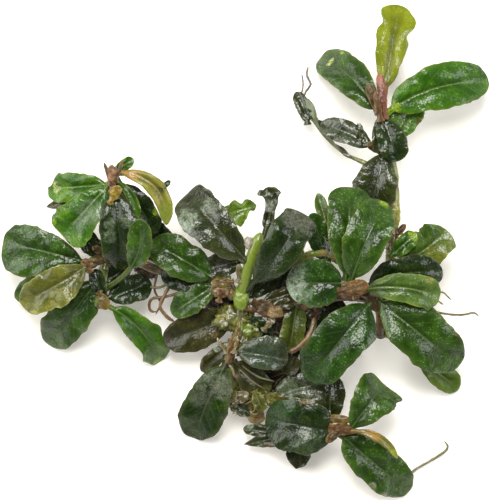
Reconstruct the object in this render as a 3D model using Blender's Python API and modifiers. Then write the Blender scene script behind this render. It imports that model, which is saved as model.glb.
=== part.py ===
"""A loose, bare-root clump of bucephalandra lying on a flat surface: one creeping rhizome, six leafy shoots
and two root mats. It is modelled in metres with +Z up and the origin under the middle of the clump."""

import math
from collections import namedtuple

import bmesh
import bpy
from mathutils import Vector
from mathutils.geometry import intersect_point_line

MM = 0.001

# Leaf sizes that every leaf shares
BLADE_THICKNESS = 0.5 * MM
STALK_THICKNESS = 1.0 * MM
STALK_HALF_WIDTH = 0.55 * MM
WIDE_LEAF = 6.4  # mm, from here on a blade gets more faces across
TIP_ROUNDING = 0.12
WAVES_PER_MARGIN = 2.3

# Stem sizes, and how far a leaf's foot stands from a stem's middle line
STEM_RADIUS = 1.05 * MM
FOOT_BESIDE = 1.8  # mm
FOOT_AT_END = 0.6  # mm
STEM_SIDES = 2
SPAN_STEPS = 2

# Colours, linear
DEEP_GREEN = (0.030, 0.075, 0.030)
GREEN = (0.060, 0.150, 0.035)
BRIGHT_GREEN = (0.120, 0.270, 0.040)
LIME = (0.330, 0.470, 0.060)
OLIVE = (0.130, 0.150, 0.035)
YELLOW_OLIVE = (0.270, 0.260, 0.050)
SLATE = (0.060, 0.090, 0.075)
DARK = (0.022, 0.040, 0.024)
BROWN = (0.110, 0.060, 0.030)
TAN = (0.330, 0.230, 0.120)

# A leaf in millimetres. Foot is where the stalk leaves the stem and tip is the far end. Bow moves the middle
# to the left of the way from foot to tip, arch lifts it. Roll and twist, in degrees, raise the left margin.
# Cup lifts both margins as a share of the half width. Droop bends the end down. Stalk is its share of the
# length, widest is where along the blade it is broadest, taper how thin the blade's foot is, skew how much of the
# width is on the left, and wave how far the margins ripple.
Leaf = namedtuple(
    "Leaf",
    "name colour foot tip width bow arch roll twist cup droop stalk widest taper skew wave",
    defaults=(0, 2.6, 0, 0, 0.12, 0, 0.14, 0.54, 0.6, 0, 0.25),
)

LEFT_SHOOT = (
    Leaf("left_leaf_1", GREEN, (-33.4, -2.0, 11.2), (-49.0, 1.4, 7.8),
         10.4, bow=-0.2, arch=2.1, widest=0.6, skew=0.06),
    Leaf("left_leaf_2", YELLOW_OLIVE, (-32.8, -3.7, 15.9), (-45.4, -10.6, 11.2), 7.0, arch=2.9, wave=0.6),
    Leaf("left_leaf_3", GREEN, (-31.2, -5.4, 9.6), (-40.2, -19.0, 0.25), 7.8, arch=3.4),
    Leaf("left_leaf_4", GREEN, (-33.4, -4.2, 8.8), (-46.8, -9.0, 3.9), 5.0, arch=1.3),
)

UPPER_LEFT_SHOOT = (
    Leaf("upper_left_leaf_1", GREEN, (-28.6, 12.6, 16.9), (-36.6, 2.8, 15.1), 9.4, arch=2.0, widest=0.64),
    Leaf("upper_left_leaf_2", BRIGHT_GREEN, (-28.6, 13.8, 14.3), (-39.8, 12.2, 10.4),
         5.8, arch=1.6, wave=0.4),
    Leaf("upper_left_leaf_3", DARK, (-25.4, 11.0, 19.0), (-24.6, -4.0, 12.5), 8.2, arch=3.4),
    Leaf("upper_left_leaf_4", YELLOW_OLIVE, (-25.0, 14.8, 19.2), (-16.0, 5.0, 16.1),
         3.6, bow=3.6, stalk=0.08),
    Leaf("upper_left_leaf_5", OLIVE, (-26.2, 17.4, 18.7), (-22.6, 18.2, 18.2), 2.4, arch=0.4),
)

MIDDLE_LEFT_SHOOT = (
    Leaf("middle_left_leaf_1", GREEN, (-27.4, -7.4, 10.4), (-21.4, 6.2, 21.6),
         5.2, bow=-2.9, arch=1.3, stalk=0.4),
    Leaf("middle_left_leaf_2", DEEP_GREEN, (-27.6, -9.8, 9.1), (-19.2, -6.6, 7.3), 5.4, arch=1.0),
    Leaf("middle_left_leaf_3", BRIGHT_GREEN, (-27.8, -11.4, 11.7), (-17.6, -22.6, 0.25),
         5.8, bow=1.8, arch=3.2, stalk=0.25),
)

CENTRE_SHOOT = (
    Leaf("centre_leaf_1", SLATE, (0.4, -9.0, 12.7), (11.0, 7.2, 20.3),
         8.6, arch=3.9, stalk=0.2, widest=0.6),
    Leaf("centre_leaf_2", SLATE, (1.6, -3.0, 13.5), (4.2, 12.4, 16.6),
         4.4, bow=-1.4, arch=-0.5, stalk=0.5, wave=0.7),
    Leaf("centre_leaf_3", SLATE, (-1.6, -1.8, 16.1), (-12.2, 10.8, 15.6),
         9.6, arch=3.6, droop=1.3, widest=0.64),
    Leaf("centre_leaf_4", GREEN, (-6.6, -5.4, 13.7), (-19.0, 1.8, 12.0), 7.8, arch=2.3),
    Leaf("centre_leaf_5", DEEP_GREEN, (-6.2, -7.9, 11.4), (-15.2, -12.6, 8.6), 5.4, arch=2.0),
    Leaf("centre_leaf_6", OLIVE, (-3.4, -12.6, 8.6), (-16.8, -18.0, 5.7), 8.0, arch=0.4, stalk=0.1),
    Leaf("centre_leaf_7", OLIVE, (10.2, -13.6, 8.6), (8.6, -20.6, 5.7), 4.6, arch=0.3, stalk=0.05),
)

LOWER_SHOOT = (
    Leaf("lower_leaf_1", DARK, (-5.4, -22.6, 10.4), (-10.8, -38.0, 0.25),
         8.8, bow=0.4, arch=4.2, widest=0.5, skew=-0.08, wave=0.4),
    Leaf("lower_leaf_2", OLIVE, (-3.6, -18.0, 8.3), (-9.2, -24.4, 5.2), 3.6, arch=1.0),
    Leaf("lower_leaf_3", DEEP_GREEN, (-1.2, -20.8, 11.2), (8.2, -21.8, 9.6), 6.4, arch=1.8),
    Leaf("lower_leaf_4", OLIVE, (-2.0, -22.4, 9.1), (4.2, -29.0, 4.7), 5.8, arch=1.0),
    Leaf("lower_leaf_5", SLATE, (6.2, -29.4, 4.7), (15.8, -26.6, 5.7), 5.2, bow=0.8, arch=0.8),
)

RIGHT_SHOOT = (
    Leaf("right_leaf_1", GREEN, (19.8, -4.9, 16.4), (20.6, 12.6, 14.3), 9.0, arch=3.1, widest=0.64),
    Leaf("right_leaf_2", GREEN, (21.6, -5.8, 18.1), (27.4, 9.6, 17.7), 8.6, bow=-0.4, arch=4.4),
    Leaf("right_leaf_3", DARK, (24.2, -6.4, 14.3), (39.2, -5.0, 13.0), 7.2, bow=0.8, arch=2.1),
    Leaf("right_leaf_4", BRIGHT_GREEN, (24.6, -7.8, 16.9), (38.4, -9.6, 15.3), 6.2, arch=2.7),
    Leaf("right_leaf_5", OLIVE, (31.0, -2.8, 10.9), (39.2, 4.8, 10.9),
         8.0, bow=-1.2, arch=1.0, widest=0.64, wave=0.4),
    Leaf("right_leaf_6", DARK, (25.0, -11.6, 15.1), (12.2, -26.0, 11.2), 10.2, arch=3.9, wave=0.4),
    Leaf("right_leaf_7", DEEP_GREEN, (27.6, -9.8, 14.0), (42.6, -23.2, 9.1), 10.6, arch=3.9),
    Leaf("right_leaf_8", BRIGHT_GREEN, (28.6, -16.6, 6.5), (42.4, -28.0, 0.3), 5.2, arch=1.8, stalk=0.5),
    Leaf("right_leaf_9", SLATE, (17.8, -6.7, 17.4), (7.8, -6.6, 12.5),
         10.0, arch=4.2, stalk=0.06, widest=0.5, taper=0.5),
    Leaf("right_leaf_10", DEEP_GREEN, (17.2, -7.0, 12.0), (13.0, 7.4, 15.1), 4.6, arch=0.0, stalk=0.35),
)

UPPER_RIGHT_SHOOT = (
    Leaf("upper_right_leaf_1", LIME, (27.0, 28.6, 10.0), (30.6, 49.2, 6.5),
         7.0, arch=1.8, stalk=0.27, wave=0.4),
    Leaf("upper_right_leaf_2", GREEN, (25.4, 27.2, 9.1), (15.0, 38.8, 0.25), 7.4, bow=-1.2, arch=3.4),
    Leaf("upper_right_leaf_3", GREEN, (28.9, 27.4, 10.4), (48.6, 33.4, 6.5),
         9.2, bow=2.0, arch=3.1, wave=0.4),
    Leaf("upper_right_leaf_4", OLIVE, (29.8, 23.2, 8.3), (34.0, 31.0, 6.5), 5.8, arch=0.8),
    Leaf("upper_right_leaf_5", DARK, (27.4, 26.2, 12.7), (30.4, 17.8, 11.4), 5.8, arch=1.2, stalk=0.08),
    Leaf("upper_right_leaf_6", SLATE, (26.2, 18.4, 7.8), (14.6, 24.6, 6.5),
         4.6, bow=-0.9, arch=1.0, stalk=0.3),
    Leaf("upper_right_leaf_7", GREEN, (28.0, 15.8, 6.8), (10.8, 31.0, 3.9),
         3.4, bow=3.6, arch=0.5, stalk=0.5, wave=0.5),
    Leaf("upper_right_leaf_8", DEEP_GREEN, (26.4, 19.8, 10.4), (25.0, 6.6, 8.3), 8.4, arch=2.1),
)

BOTTOM_SHOOT = (
    Leaf("bottom_leaf_1", DEEP_GREEN, (17.2, -37.8, 10.1), (3.6, -33.6, 6.0),
         11.0, arch=3.1, stalk=0.1, widest=0.5, taper=0.55),
    Leaf("bottom_leaf_2", SLATE, (14.0, -37.4, 5.5), (-0.6, -38.2, 2.9),
         4.8, arch=0.4, stalk=0.25, cup=0.3),
    Leaf("bottom_leaf_3", DARK, (11.2, -35.2, 3.6), (9.8, -43.8, 1.4), 4.8, arch=0, stalk=0.3),
    Leaf("bottom_leaf_4", GREEN, (21.6, -34.6, 10.4), (28.2, -26.0, 9.1),
         9.4, arch=2.6, droop=1.0, widest=0.68),
    Leaf("bottom_leaf_5", GREEN, (19.0, -38.0, 8.3), (32.0, -48.9, 0.25),
         8.6, arch=2.6, widest=0.5, taper=0.5, skew=-0.04),
    Leaf("bottom_leaf_6", YELLOW_OLIVE, (19.6, -36.4, 12.2), (30.2, -41.8, 9.4),
         1.8, bow=2.3, arch=1.8, wave=0),
    Leaf("bottom_leaf_7", SLATE, (17.0, -33.8, 7.0), (15.6, -24.8, 7.8), 5.0, arch=0.3),
)

# A stem in millimetres: the points of its middle line
Stem = namedtuple("Stem", "name colour points")

STEMS = (
    Stem("rhizome_left", OLIVE, ((-3.2, -8.7, 10.7), (-5.0, -6.2, 11.1), (-11.4, -5.2, 9.6),
                                 (-17.4, -4.0, 8.3),
                                 (-23.6, -1.8, 8.1), (-29.0, -1.8, 8.8), (-31.8, -3.0, 13.5))),
    Stem("rhizome_right", BROWN, ((0.0, -11.4, 9.9), (3.0, -11.7, 9.6), (7.2, -12.4, 9.4),
                                  (12.6, -11.0, 9.6),
                                  (18.6, -9.2, 10.1), (24.0, -9.6, 9.9))),
    Stem("upper_left_stem", YELLOW_OLIVE, ((-28.2, -0.4, 9.4), (-27.8, 5.0, 10.9), (-27.0, 10.0, 13.5),
                                           (-26.6, 15.6, 17.7))),
    Stem("middle_left_stem", OLIVE, ((-28.4, -3.6, 8.3), (-28.8, -6.4, 8.1), (-29.2, -10.6, 9.6))),
    Stem("green_stem", LIME, ((-1.4, -10.4, 10.4), (-1.0, -7.6, 12.5), (0.0, -2.4, 15.6),
                              (2.6, 3.4, 17.4))),
    Stem("lower_stem", BROWN, ((-1.4, -10.8, 9.9), (-1.6, -16.0, 9.4), (-2.9, -19.4, 9.4),
                               (-3.6, -22.6, 8.5), (-2.7, -26.2, 6.0))),
    Stem("right_stem", BROWN, ((26.8, -16.4, 6.5), (26.8, -12.6, 9.6), (25.0, -9.6, 13.0),
                               (22.0, -7.6, 15.3), (19.6, -6.6, 16.4))),
    Stem("upper_right_stem", LIME, ((27.2, -10.9, 8.1), (28.6, -4.0, 8.6), (29.0, 1.0, 8.6),
                                    (29.5, 7.0, 8.6),
                                    (29.3, 15.0, 8.6), (28.1, 20.6, 8.8), (27.1, 27.4, 9.8))),
    Stem("bottom_stem", BROWN, ((4.4, -30.4, 3.1), (9.0, -32.4, 4.2), (14.2, -35.0, 5.7),
                                (17.6, -36.0, 7.8), (20.4, -36.2, 9.6))),
)

# A root mat in millimetres: its middle on the surface, its half sizes and its height
RootMat = namedtuple("RootMat", "name colour middle half height")

ROOT_MATS = (
    RootMat("root_mat", TAN, (0.0, -28.6), (4.8, 5.2), 6.0),
    RootMat("left_root_mat", BROWN, (-20.0, -3.2), (3.4, 2.6), 6.8),
)


def material(name, colour, roughness):
    """A Principled finish with one colour."""
    made = bpy.data.materials.new(name)
    made.use_nodes = True
    shader = made.node_tree.nodes["Principled BSDF"]
    shader.inputs["Base Color"].default_value = (*colour, 1)
    shader.inputs["Roughness"].default_value = roughness
    shader.inputs["Metallic"].default_value = 0
    made.diffuse_color = (*colour, 1)
    return made


def add_object(name, data, colour, roughness):
    made = bpy.data.objects.new(name, data)
    data.materials.append(material(name, colour, roughness))
    collection.objects.link(made)
    return made


def width_share(s, widest, taper):
    """Half width of a blade as a share of its greatest, from 0 at the stalk to 1 at the tip."""
    tip_power = taper * (1 - widest) / widest
    return (s / widest) ** taper * ((1 - s) / (1 - widest)) ** tip_power


def ease(value):
    value = min(max(value, 0), 1)
    return value * value * (3 - 2 * value)


def nearest_on_stems(place):
    """The point of the stems' middle lines that is nearest to a place, and the way the stem runs there."""
    found = []
    for stem in STEMS:
        for start, end in zip(stem.points, stem.points[1:]):
            start, end = Vector(start), Vector(end)
            share = min(max(intersect_point_line(place, start, end)[1], 0), 1)
            found.append((start.lerp(end, share), (end - start).normalized()))
    return min(found, key=lambda near: (near[0] - place).length)


def set_on_stem(leaf):
    """The leaf with its foot moved to the nearest stem's skin."""
    foot = Vector(leaf.foot)
    near, along = nearest_on_stems(foot)
    away = (foot - near).normalized()
    past_end = abs(away.dot(along))
    foot = near + away * (FOOT_BESIDE * (1 - past_end) + FOOT_AT_END * past_end)
    return leaf._replace(foot=tuple(foot))


def leaf_point(leaf, u, v):
    """Place of a point of the leaf, u from -1 to 1 across to the left, v from 0 to 1 from foot to tip."""
    foot, tip = Vector(leaf.foot), Vector(leaf.tip)
    chord = tip - foot
    left = Vector((-chord.y, chord.x, 0)).normalized()
    turn = (foot + tip) / 2 + left * 2 * leaf.bow + Vector((0, 0, 2 * leaf.arch))

    s = max(v - leaf.stalk, 0) / (1 - leaf.stalk)
    rounding = ease((s - 0.6) / 0.4)
    s -= TIP_ROUNDING * rounding * u * u
    t = leaf.stalk * min(v / leaf.stalk, 1) + (1 - leaf.stalk) * max(s, 0)
    middle = foot * (1 - t) ** 2 + turn * 2 * t * (1 - t) + tip * t * t
    along = ((turn - foot) * (1 - t) + (tip - turn) * t).normalized()
    side = (left - along * left.dot(along)).normalized()
    up = along.cross(side)
    angle = math.radians(leaf.roll + leaf.twist * t)
    side, up = side * math.cos(angle) + up * math.sin(angle), up * math.cos(angle) - side * math.sin(angle)

    share = width_share(max(s, 0), leaf.widest, leaf.taper)
    half = max(leaf.width / 2 * share, STALK_HALF_WIDTH / MM * (1 - ease(s * 4)))
    across = math.copysign(abs(u) ** (1 - rounding), u) if u else 0
    lift = leaf.cup * half * u * u
    phase = 1.9 if u > 0 else 4.0
    lift += leaf.wave * share * u * u * math.sin(math.tau * WAVES_PER_MARGIN * s + phase)
    place = middle + side * across * half * (1 + math.copysign(leaf.skew, u)) + up * lift
    place.z -= leaf.droop * ease((s - 0.6) / 0.4) ** 2
    return place * MM


def add_leaf(leaf):
    across = 4 if leaf.width > WIDE_LEAF else 2
    along = 9 if leaf.width > WIDE_LEAF else 8
    mesh = bmesh.new()
    bmesh.ops.create_grid(mesh, x_segments=across, y_segments=along, size=1)
    stalk_rows = 2
    stalk_weights = []
    for vert in mesh.verts:
        u = vert.co.x
        row = round((vert.co.y + 1) / 2 * along)
        if row <= stalk_rows:
            v = leaf.stalk * row / stalk_rows
        else:
            v = leaf.stalk + (1 - leaf.stalk) * (row - stalk_rows) / (along - stalk_rows)
        vert.co = leaf_point(leaf, -u, v)
        stalk_weights.append(1 if row <= stalk_rows else 0)
    bmesh.ops.recalc_face_normals(mesh, faces=mesh.faces)
    data = bpy.data.meshes.new(leaf.name)
    mesh.to_mesh(data)
    mesh.free()
    data.shade_smooth()
    made = add_object(leaf.name, data, leaf.colour, 0.35)
    group = made.vertex_groups.new(name="stalk")
    for index, weight in enumerate(stalk_weights):
        group.add([index], weight, "REPLACE")
    wall = made.modifiers.new("blade", "SOLIDIFY")
    wall.thickness = STALK_THICKNESS
    wall.offset = 0
    wall.vertex_group = group.name
    wall.thickness_vertex_group = BLADE_THICKNESS / STALK_THICKNESS
    return made


def add_stem(stem):
    curve = bpy.data.curves.new(stem.name, "CURVE")
    curve.dimensions = "3D"
    curve.bevel_depth = STEM_RADIUS
    curve.bevel_resolution = STEM_SIDES
    curve.resolution_u = SPAN_STEPS
    curve.use_fill_caps = True
    spline = curve.splines.new("BEZIER")
    spline.bezier_points.add(len(stem.points) - 1)
    for point, place in zip(spline.bezier_points, stem.points):
        point.co = Vector(place) * MM
        point.handle_left_type = point.handle_right_type = "AUTO"
    return add_object(stem.name, curve, stem.colour, 0.5)


def add_root_mat(mat):
    """A lumpy low mound, cut flat where it rests."""
    mesh = bmesh.new()
    bmesh.ops.create_uvsphere(mesh, u_segments=14, v_segments=8, radius=1)
    for vert in mesh.verts:
        turn = math.atan2(vert.co.y, vert.co.x)
        swell = 1 + 0.10 * math.sin(3 * turn + 0.6) + 0.06 * math.sin(5 * turn + 4 * vert.co.z)
        vert.co.x *= swell
        vert.co.y *= swell
        vert.co.z = (vert.co.z + 0.25) / 1.25
    for vert in mesh.verts:
        vert.co.x = (vert.co.x * mat.half[0] + mat.middle[0]) * MM
        vert.co.y = (vert.co.y * mat.half[1] + mat.middle[1]) * MM
        vert.co.z *= mat.height * MM
    everything = mesh.verts[:] + mesh.edges[:] + mesh.faces[:]
    cut = bmesh.ops.bisect_plane(mesh, geom=everything, plane_co=(0, 0, 0), plane_no=(0, 0, -1), clear_outer=True)
    rim = [item for item in cut["geom_cut"] if isinstance(item, bmesh.types.BMEdge)]
    bmesh.ops.contextual_create(mesh, geom=rim)
    bmesh.ops.recalc_face_normals(mesh, faces=mesh.faces)
    data = bpy.data.meshes.new(mat.name)
    mesh.to_mesh(data)
    mesh.free()
    return add_object(mat.name, data, mat.colour, 0.8)


for old in list(bpy.data.objects):
    bpy.data.objects.remove(old)
collection = bpy.data.collections.new("bucephalandra")
bpy.context.scene.collection.children.link(collection)

for shoot in (
    LEFT_SHOOT,
    UPPER_LEFT_SHOOT,
    MIDDLE_LEFT_SHOOT,
    CENTRE_SHOOT,
    LOWER_SHOOT,
    RIGHT_SHOOT,
    UPPER_RIGHT_SHOOT,
    BOTTOM_SHOOT,
):
    for leaf in shoot:
        add_leaf(set_on_stem(leaf))
for stem in STEMS:
    add_stem(stem)
for mat in ROOT_MATS:
    add_root_mat(mat)
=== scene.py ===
"""A loose, bare-root clump of bucephalandra lying on a pale table and seen from straight above. It runs
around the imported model: each piece stands for the solid of its name, and the smallest are mesh only."""
import math
import random
from collections import namedtuple
from functools import cache, partial

import bmesh
import bpy
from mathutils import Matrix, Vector, noise
from mathutils.geometry import interpolate_bezier, intersect_point_line


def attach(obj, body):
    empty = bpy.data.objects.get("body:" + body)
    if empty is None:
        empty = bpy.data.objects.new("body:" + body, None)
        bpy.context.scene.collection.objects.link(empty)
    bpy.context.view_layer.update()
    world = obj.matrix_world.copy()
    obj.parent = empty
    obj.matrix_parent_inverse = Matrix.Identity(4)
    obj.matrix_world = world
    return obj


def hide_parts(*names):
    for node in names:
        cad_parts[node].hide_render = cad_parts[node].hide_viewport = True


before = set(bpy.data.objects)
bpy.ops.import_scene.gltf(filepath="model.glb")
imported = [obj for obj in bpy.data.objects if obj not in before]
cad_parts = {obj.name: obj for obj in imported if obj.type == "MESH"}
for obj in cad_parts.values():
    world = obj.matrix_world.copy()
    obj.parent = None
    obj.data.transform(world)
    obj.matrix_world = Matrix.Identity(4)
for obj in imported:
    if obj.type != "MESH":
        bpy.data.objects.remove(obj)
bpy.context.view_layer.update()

# The clump lies on a white table and is seen from straight above through a long lens, almost without
# perspective. A softbox toward the top of the picture gives the sheen, one on each side lights the slopes,
# and a pale room and a faint glow of the table itself fill the shade.
MM = 0.001
PHOTO_WIDTH = 98.8 * MM
LEAF_LEVEL = 12 * MM
CAMERA_HEIGHT = 1200 * MM
SENSOR_WIDTH = 36
ROOM_WHITE = (1.0, 0.98, 0.94, 1)
LOW_WALLS, OVERHEAD, OVERHEAD_FROM = 0.90, 0.15, 0.65
TABLE_HALF = 1.5
TABLE_WHITE = (0.93, 0.90, 0.845, 1)
TABLE_GLOW, GLOW_WHITE = 0.20, (1.0, 0.975, 0.93, 1)
WET_COAT_ROUGHNESS = 0.12


def put(name, data):
    """A new object in the scene, with this data."""
    made = bpy.data.objects.new(name, data)
    bpy.context.scene.collection.objects.link(made)
    return made


def put_mesh(name, mesh, finish):
    data = bpy.data.meshes.new(name)
    mesh.to_mesh(data)
    mesh.free()
    data.materials.append(finish)
    return put(name, data)


def put_softbox(name, place, size, power, colour):
    """A square light that faces the clump."""
    light = bpy.data.lights.new(name, "AREA")
    light.shape = "SQUARE"
    light.size = size
    light.energy = power
    light.color = colour
    softbox = put(name, light)
    softbox.location = place
    softbox.rotation_euler = Vector(place).to_track_quat("Z", "Y").to_euler()


def set_inputs(node, **values):
    """Set a node's inputs by their names, written with a low line for each space."""
    for name, value in values.items():
        node.inputs[name.replace("_", " ")].default_value = value


def wire(tree, kind, *inputs, **settings):
    """A new shader node. Its inputs are linked or set in their order, and None leaves one as it is."""
    made = tree.nodes.new("ShaderNode" + kind)
    for name, value in settings.items():
        setattr(made, name, value)
    for socket, value in zip(made.inputs, inputs):
        if isinstance(value, bpy.types.NodeSocket):
            tree.links.new(value, socket)
        elif value is not None:
            socket.default_value = value
    return made.outputs[0]


def new_finish(name, roughness, specular=0.5, coat=0.0):
    """A plain Principled finish: the material and its shader."""
    finish = bpy.data.materials.new(name)
    finish.use_nodes = True
    shader = finish.node_tree.nodes["Principled BSDF"]
    set_inputs(shader, Roughness=roughness, Specular_IOR_Level=specular, Coat_Weight=coat,
               Coat_Roughness=WET_COAT_ROUGHNESS)
    return finish, shader


camera_data = bpy.data.cameras.new("camera")
camera_data.sensor_fit = "HORIZONTAL"
camera_data.sensor_width = SENSOR_WIDTH
camera_data.lens = SENSOR_WIDTH * (CAMERA_HEIGHT - LEAF_LEVEL) / PHOTO_WIDTH
camera = put("camera", camera_data)
camera.location = (0, 0, CAMERA_HEIGHT)
bpy.context.scene.camera = camera
bpy.context.scene.view_settings.view_transform = "Standard"

put_softbox("key_softbox", (-0.04, 0.42, 0.93), size=0.46, power=12, colour=(1, 0.985, 0.96))
put_softbox("left_softbox", (-0.72, 0.16, 0.52), size=0.62, power=6.8, colour=(1, 0.99, 0.97))
put_softbox("right_softbox", (0.66, 0.06, 0.45), size=0.38, power=2.8, colour=(1, 1, 1))

room = bpy.data.worlds.new("pale_room")
room.use_nodes = True
room_tree = room.node_tree
upward = wire(room_tree, "SeparateXYZ", wire(room_tree, "TexCoord")).node.outputs["Z"]
walls = wire(room_tree, "MapRange", upward, 0.0, OVERHEAD_FROM, LOW_WALLS, OVERHEAD)
background = room_tree.nodes["Background"]
set_inputs(background, Color=ROOM_WHITE)
room_tree.links.new(walls, background.inputs["Strength"])
bpy.context.scene.world = room

table_mesh = bmesh.new()
bmesh.ops.create_grid(table_mesh, x_segments=1, y_segments=1, size=TABLE_HALF)
table_finish, table_shader = new_finish("white_table", roughness=0.9, specular=0.1)
set_inputs(table_shader, Base_Color=TABLE_WHITE, Emission_Color=GLOW_WHITE, Emission_Strength=TABLE_GLOW)
table = put_mesh("table", table_mesh, table_finish)

# The creeping stem and its branches. They are fleshy, about two millimetres thick and ringed with the scars
# of old leaves. Each branch grew out of the side of the one before it, so its first end sits inside that one.
STEM_STEPS = 16
STEM_SIDES = 20
SUNK_END = 1.3
RING_GAP = 2.3
RING_HALF_WIDTH = 0.14
RING_HEIGHT = 0.10
RING_WANDER = 0.18
STEM_LUMPS = 0.16
SKIN_CLOUDS, SKIN_GRAIN, SKIN_RELIEF = 420.0, 2600.0, 0.12 * MM

Stem = namedtuple("Stem", "name slot skin blotch points radius rings", defaults=(1.05, 1.0))
OLIVE_SKIN = (0.075, 0.07, 0.016)
BROWN_SKIN = (0.08, 0.042, 0.016)
LIME_SKIN = (0.144, 0.202, 0.014)
YELLOW_SKIN = (0.23, 0.18, 0.03)
PINK_BLOTCH = (0.26, 0.15, 0.075)
GREEN_BLOTCH = (0.13, 0.19, 0.018)
BROWN_BLOTCH = (0.12, 0.06, 0.022)
SPECK_BROWN = (0.02, 0.013, 0.006)
SCAR_BROWN = (0.03, 0.016, 0.008)

STEMS = (
    Stem("rhizome_left", "rhizome", OLIVE_SKIN, PINK_BLOTCH,
         ((-3.2, -8.7, 10.7), (-5, -6.2, 11.1), (-11.4, -5.2, 9.6), (-17.4, -4, 8.3), (-23.6, -1.8, 8.1),
          (-29, -1.8, 8.8), (-31.8, -3, 13.5))),
    Stem("rhizome_right", "rhizome", BROWN_SKIN, PINK_BLOTCH,
         ((0, -11.4, 9.9), (3, -11.7, 9.6), (7.2, -12.4, 9.4), (12.6, -11, 9.6), (18.6, -9.2, 10.1),
          (23.6, -9.6, 9.9), (25.7, -10.9, 11.2))),
    Stem("upper_left_stem", "rhizome", YELLOW_SKIN, BROWN_BLOTCH,
         ((-28.2, -0.4, 9.4), (-27.8, 5, 10.9), (-27, 10, 13.5), (-26.6, 15.6, 17.7))),
    Stem("middle_left_stem", "rhizome", OLIVE_SKIN, GREEN_BLOTCH,
         ((-28.4, -3.6, 8.3), (-28.8, -6.4, 8.1), (-29.2, -10.6, 9.6))),
    Stem("green_stem", "green_stem", LIME_SKIN, GREEN_BLOTCH,
         ((-1.4, -10.4, 10.4), (-0.7, -7.4, 12.5), (0.6, -2.4, 15.6), (2.7, 3.4, 17.4)), 1.15, 0.12),
    Stem("lower_stem", "rhizome", OLIVE_SKIN, GREEN_BLOTCH,
         ((-1.4, -10.8, 9.9), (-1.6, -16, 9.4), (-2.9, -19.4, 9.4), (-3.6, -22.6, 8.5), (-2.7, -26.2, 6),
          (-2.2, -27.6, 4.4))),
    Stem("right_stem", "rhizome", BROWN_SKIN, BROWN_BLOTCH,
         ((26.8, -16.4, 6.5), (26.8, -12.6, 9.6), (25, -9.6, 13), (22, -7.6, 15.3), (19.6, -6.6, 16.4))),
    Stem("upper_right_stem", "green_stem", LIME_SKIN, PINK_BLOTCH,
         ((27.2, -10.9, 8.1), (28.6, -4, 8.6), (29, 1, 8.6), (29.5, 7, 8.6), (29.3, 15, 8.6),
          (28.1, 20.6, 8.8), (27.1, 27.4, 9.8))),
    Stem("bottom_stem", "rhizome", BROWN_SKIN, PINK_BLOTCH,
         ((4.4, -30.4, 3.1), (9, -32.4, 4.2), (14.2, -35, 5.7), (17.6, -36, 7.8), (20.4, -36.2, 9.6))),
)


def blend(share, first, second):
    """From the first colour to the second as the share goes from 0 to 1."""
    ends = [(*end, 1) if isinstance(end, tuple) else end for end in (first, second)]
    return wire(share.id_data, "MixRGB", share, *ends)


def step_between(value, low, high):
    """0 where the value is at low, 1 where it is at high, smooth between."""
    return wire(value.id_data, "MapRange", value, low, high, 0.0, 1.0, interpolation_type="SMOOTHSTEP")


def scaled(first, second):
    return wire(first.id_data, "Math", first, second, operation="MULTIPLY")


def paint(colour, mask, share, over):
    """The colour with another laid over it, in full where both the mask and the share are 1."""
    return blend(scaled(mask, share), colour, over)


def attribute(tree, name, output="Fac"):
    made = tree.nodes.new("ShaderNodeAttribute")
    made.attribute_name = name
    return made.outputs[output]


def pattern(tree, kind, *inputs):
    """A noise or cell pattern fixed to the piece. Its first input is the number of waves in a metre."""
    return wire(tree, kind, wire(tree, "TexCoord").node.outputs["Object"], None, *inputs)


def cover(shader, colour, relief, strength, depth):
    """Give the shader its colour and a relief of this depth in metres."""
    tree = shader.id_data
    tree.links.new(colour, shader.inputs["Base Color"])
    tree.links.new(wire(tree, "Bump", strength, depth, None, relief), shader.inputs["Normal"])


def stem_finish(name, skin, blotch):
    """Wet plant skin with darker rings and paler, bruised blotches."""
    finish, shader = new_finish(name + "_skin", roughness=0.34, coat=0.35)
    tree = finish.node_tree
    cloudy = pattern(tree, "TexNoise", SKIN_CLOUDS, 4.0, 0.6)
    fine = pattern(tree, "TexNoise", SKIN_GRAIN, 3.0, 0.6)
    colour = blend(step_between(cloudy, 0.46, 0.62), skin, blotch)
    colour = paint(colour, step_between(fine, 0.5, 0.7), 0.45, SPECK_BROWN)
    colour = paint(colour, attribute(tree, "ring"), 0.6, SCAR_BROWN)
    cover(shader, colour, fine, 0.5, SKIN_RELIEF)
    return finish


def smooth_line(points, steps):
    """A smooth line through points in millimetres, with so many steps between each two."""
    points = [Vector(point) * MM for point in points]
    padded = [points[0] * 2 - points[1], *points, points[-1] * 2 - points[-2]]
    line = [points[0]]
    for before, start, end, after in zip(padded, padded[1:], padded[2:], padded[3:]):
        leaving, arriving = start + (end - before) / 6, end - (after - start) / 6
        line += interpolate_bezier(start, leaving, arriving, end, steps + 1)[1:]
    return line


def square_frames(line):
    """For each place on a line, it and two directions square to the line that don't twist on the way."""
    side = (line[1] - line[0]).orthogonal().normalized()
    frames = []
    for index, place in enumerate(line):
        ahead = (line[min(index + 1, len(line) - 1)] - line[max(index - 1, 0)]).normalized()
        side = (side - ahead * side.dot(ahead)).normalized()
        frames.append((place, side, ahead.cross(side)))
    return frames


def upright_tube(mesh, sides, steps):
    """Add a closed tube of radius and height 1 that stands upright, and give its verts."""
    made = bmesh.ops.create_cone(mesh, cap_ends=True, segments=sides, radius1=1, radius2=1, depth=1)
    edges = dict.fromkeys(edge for vert in made["verts"] for edge in vert.link_edges)
    upright = [edge for edge in edges if abs(edge.verts[0].co.z - edge.verts[1].co.z) > 0.5]
    cut = bmesh.ops.subdivide_edges(mesh, edges=upright, cuts=steps - 1)
    inner = [item for item in cut["geom_inner"] if isinstance(item, bmesh.types.BMVert)]
    return dict.fromkeys(edge.other_vert(vert) for vert in inner for edge in vert.link_edges)


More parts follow.
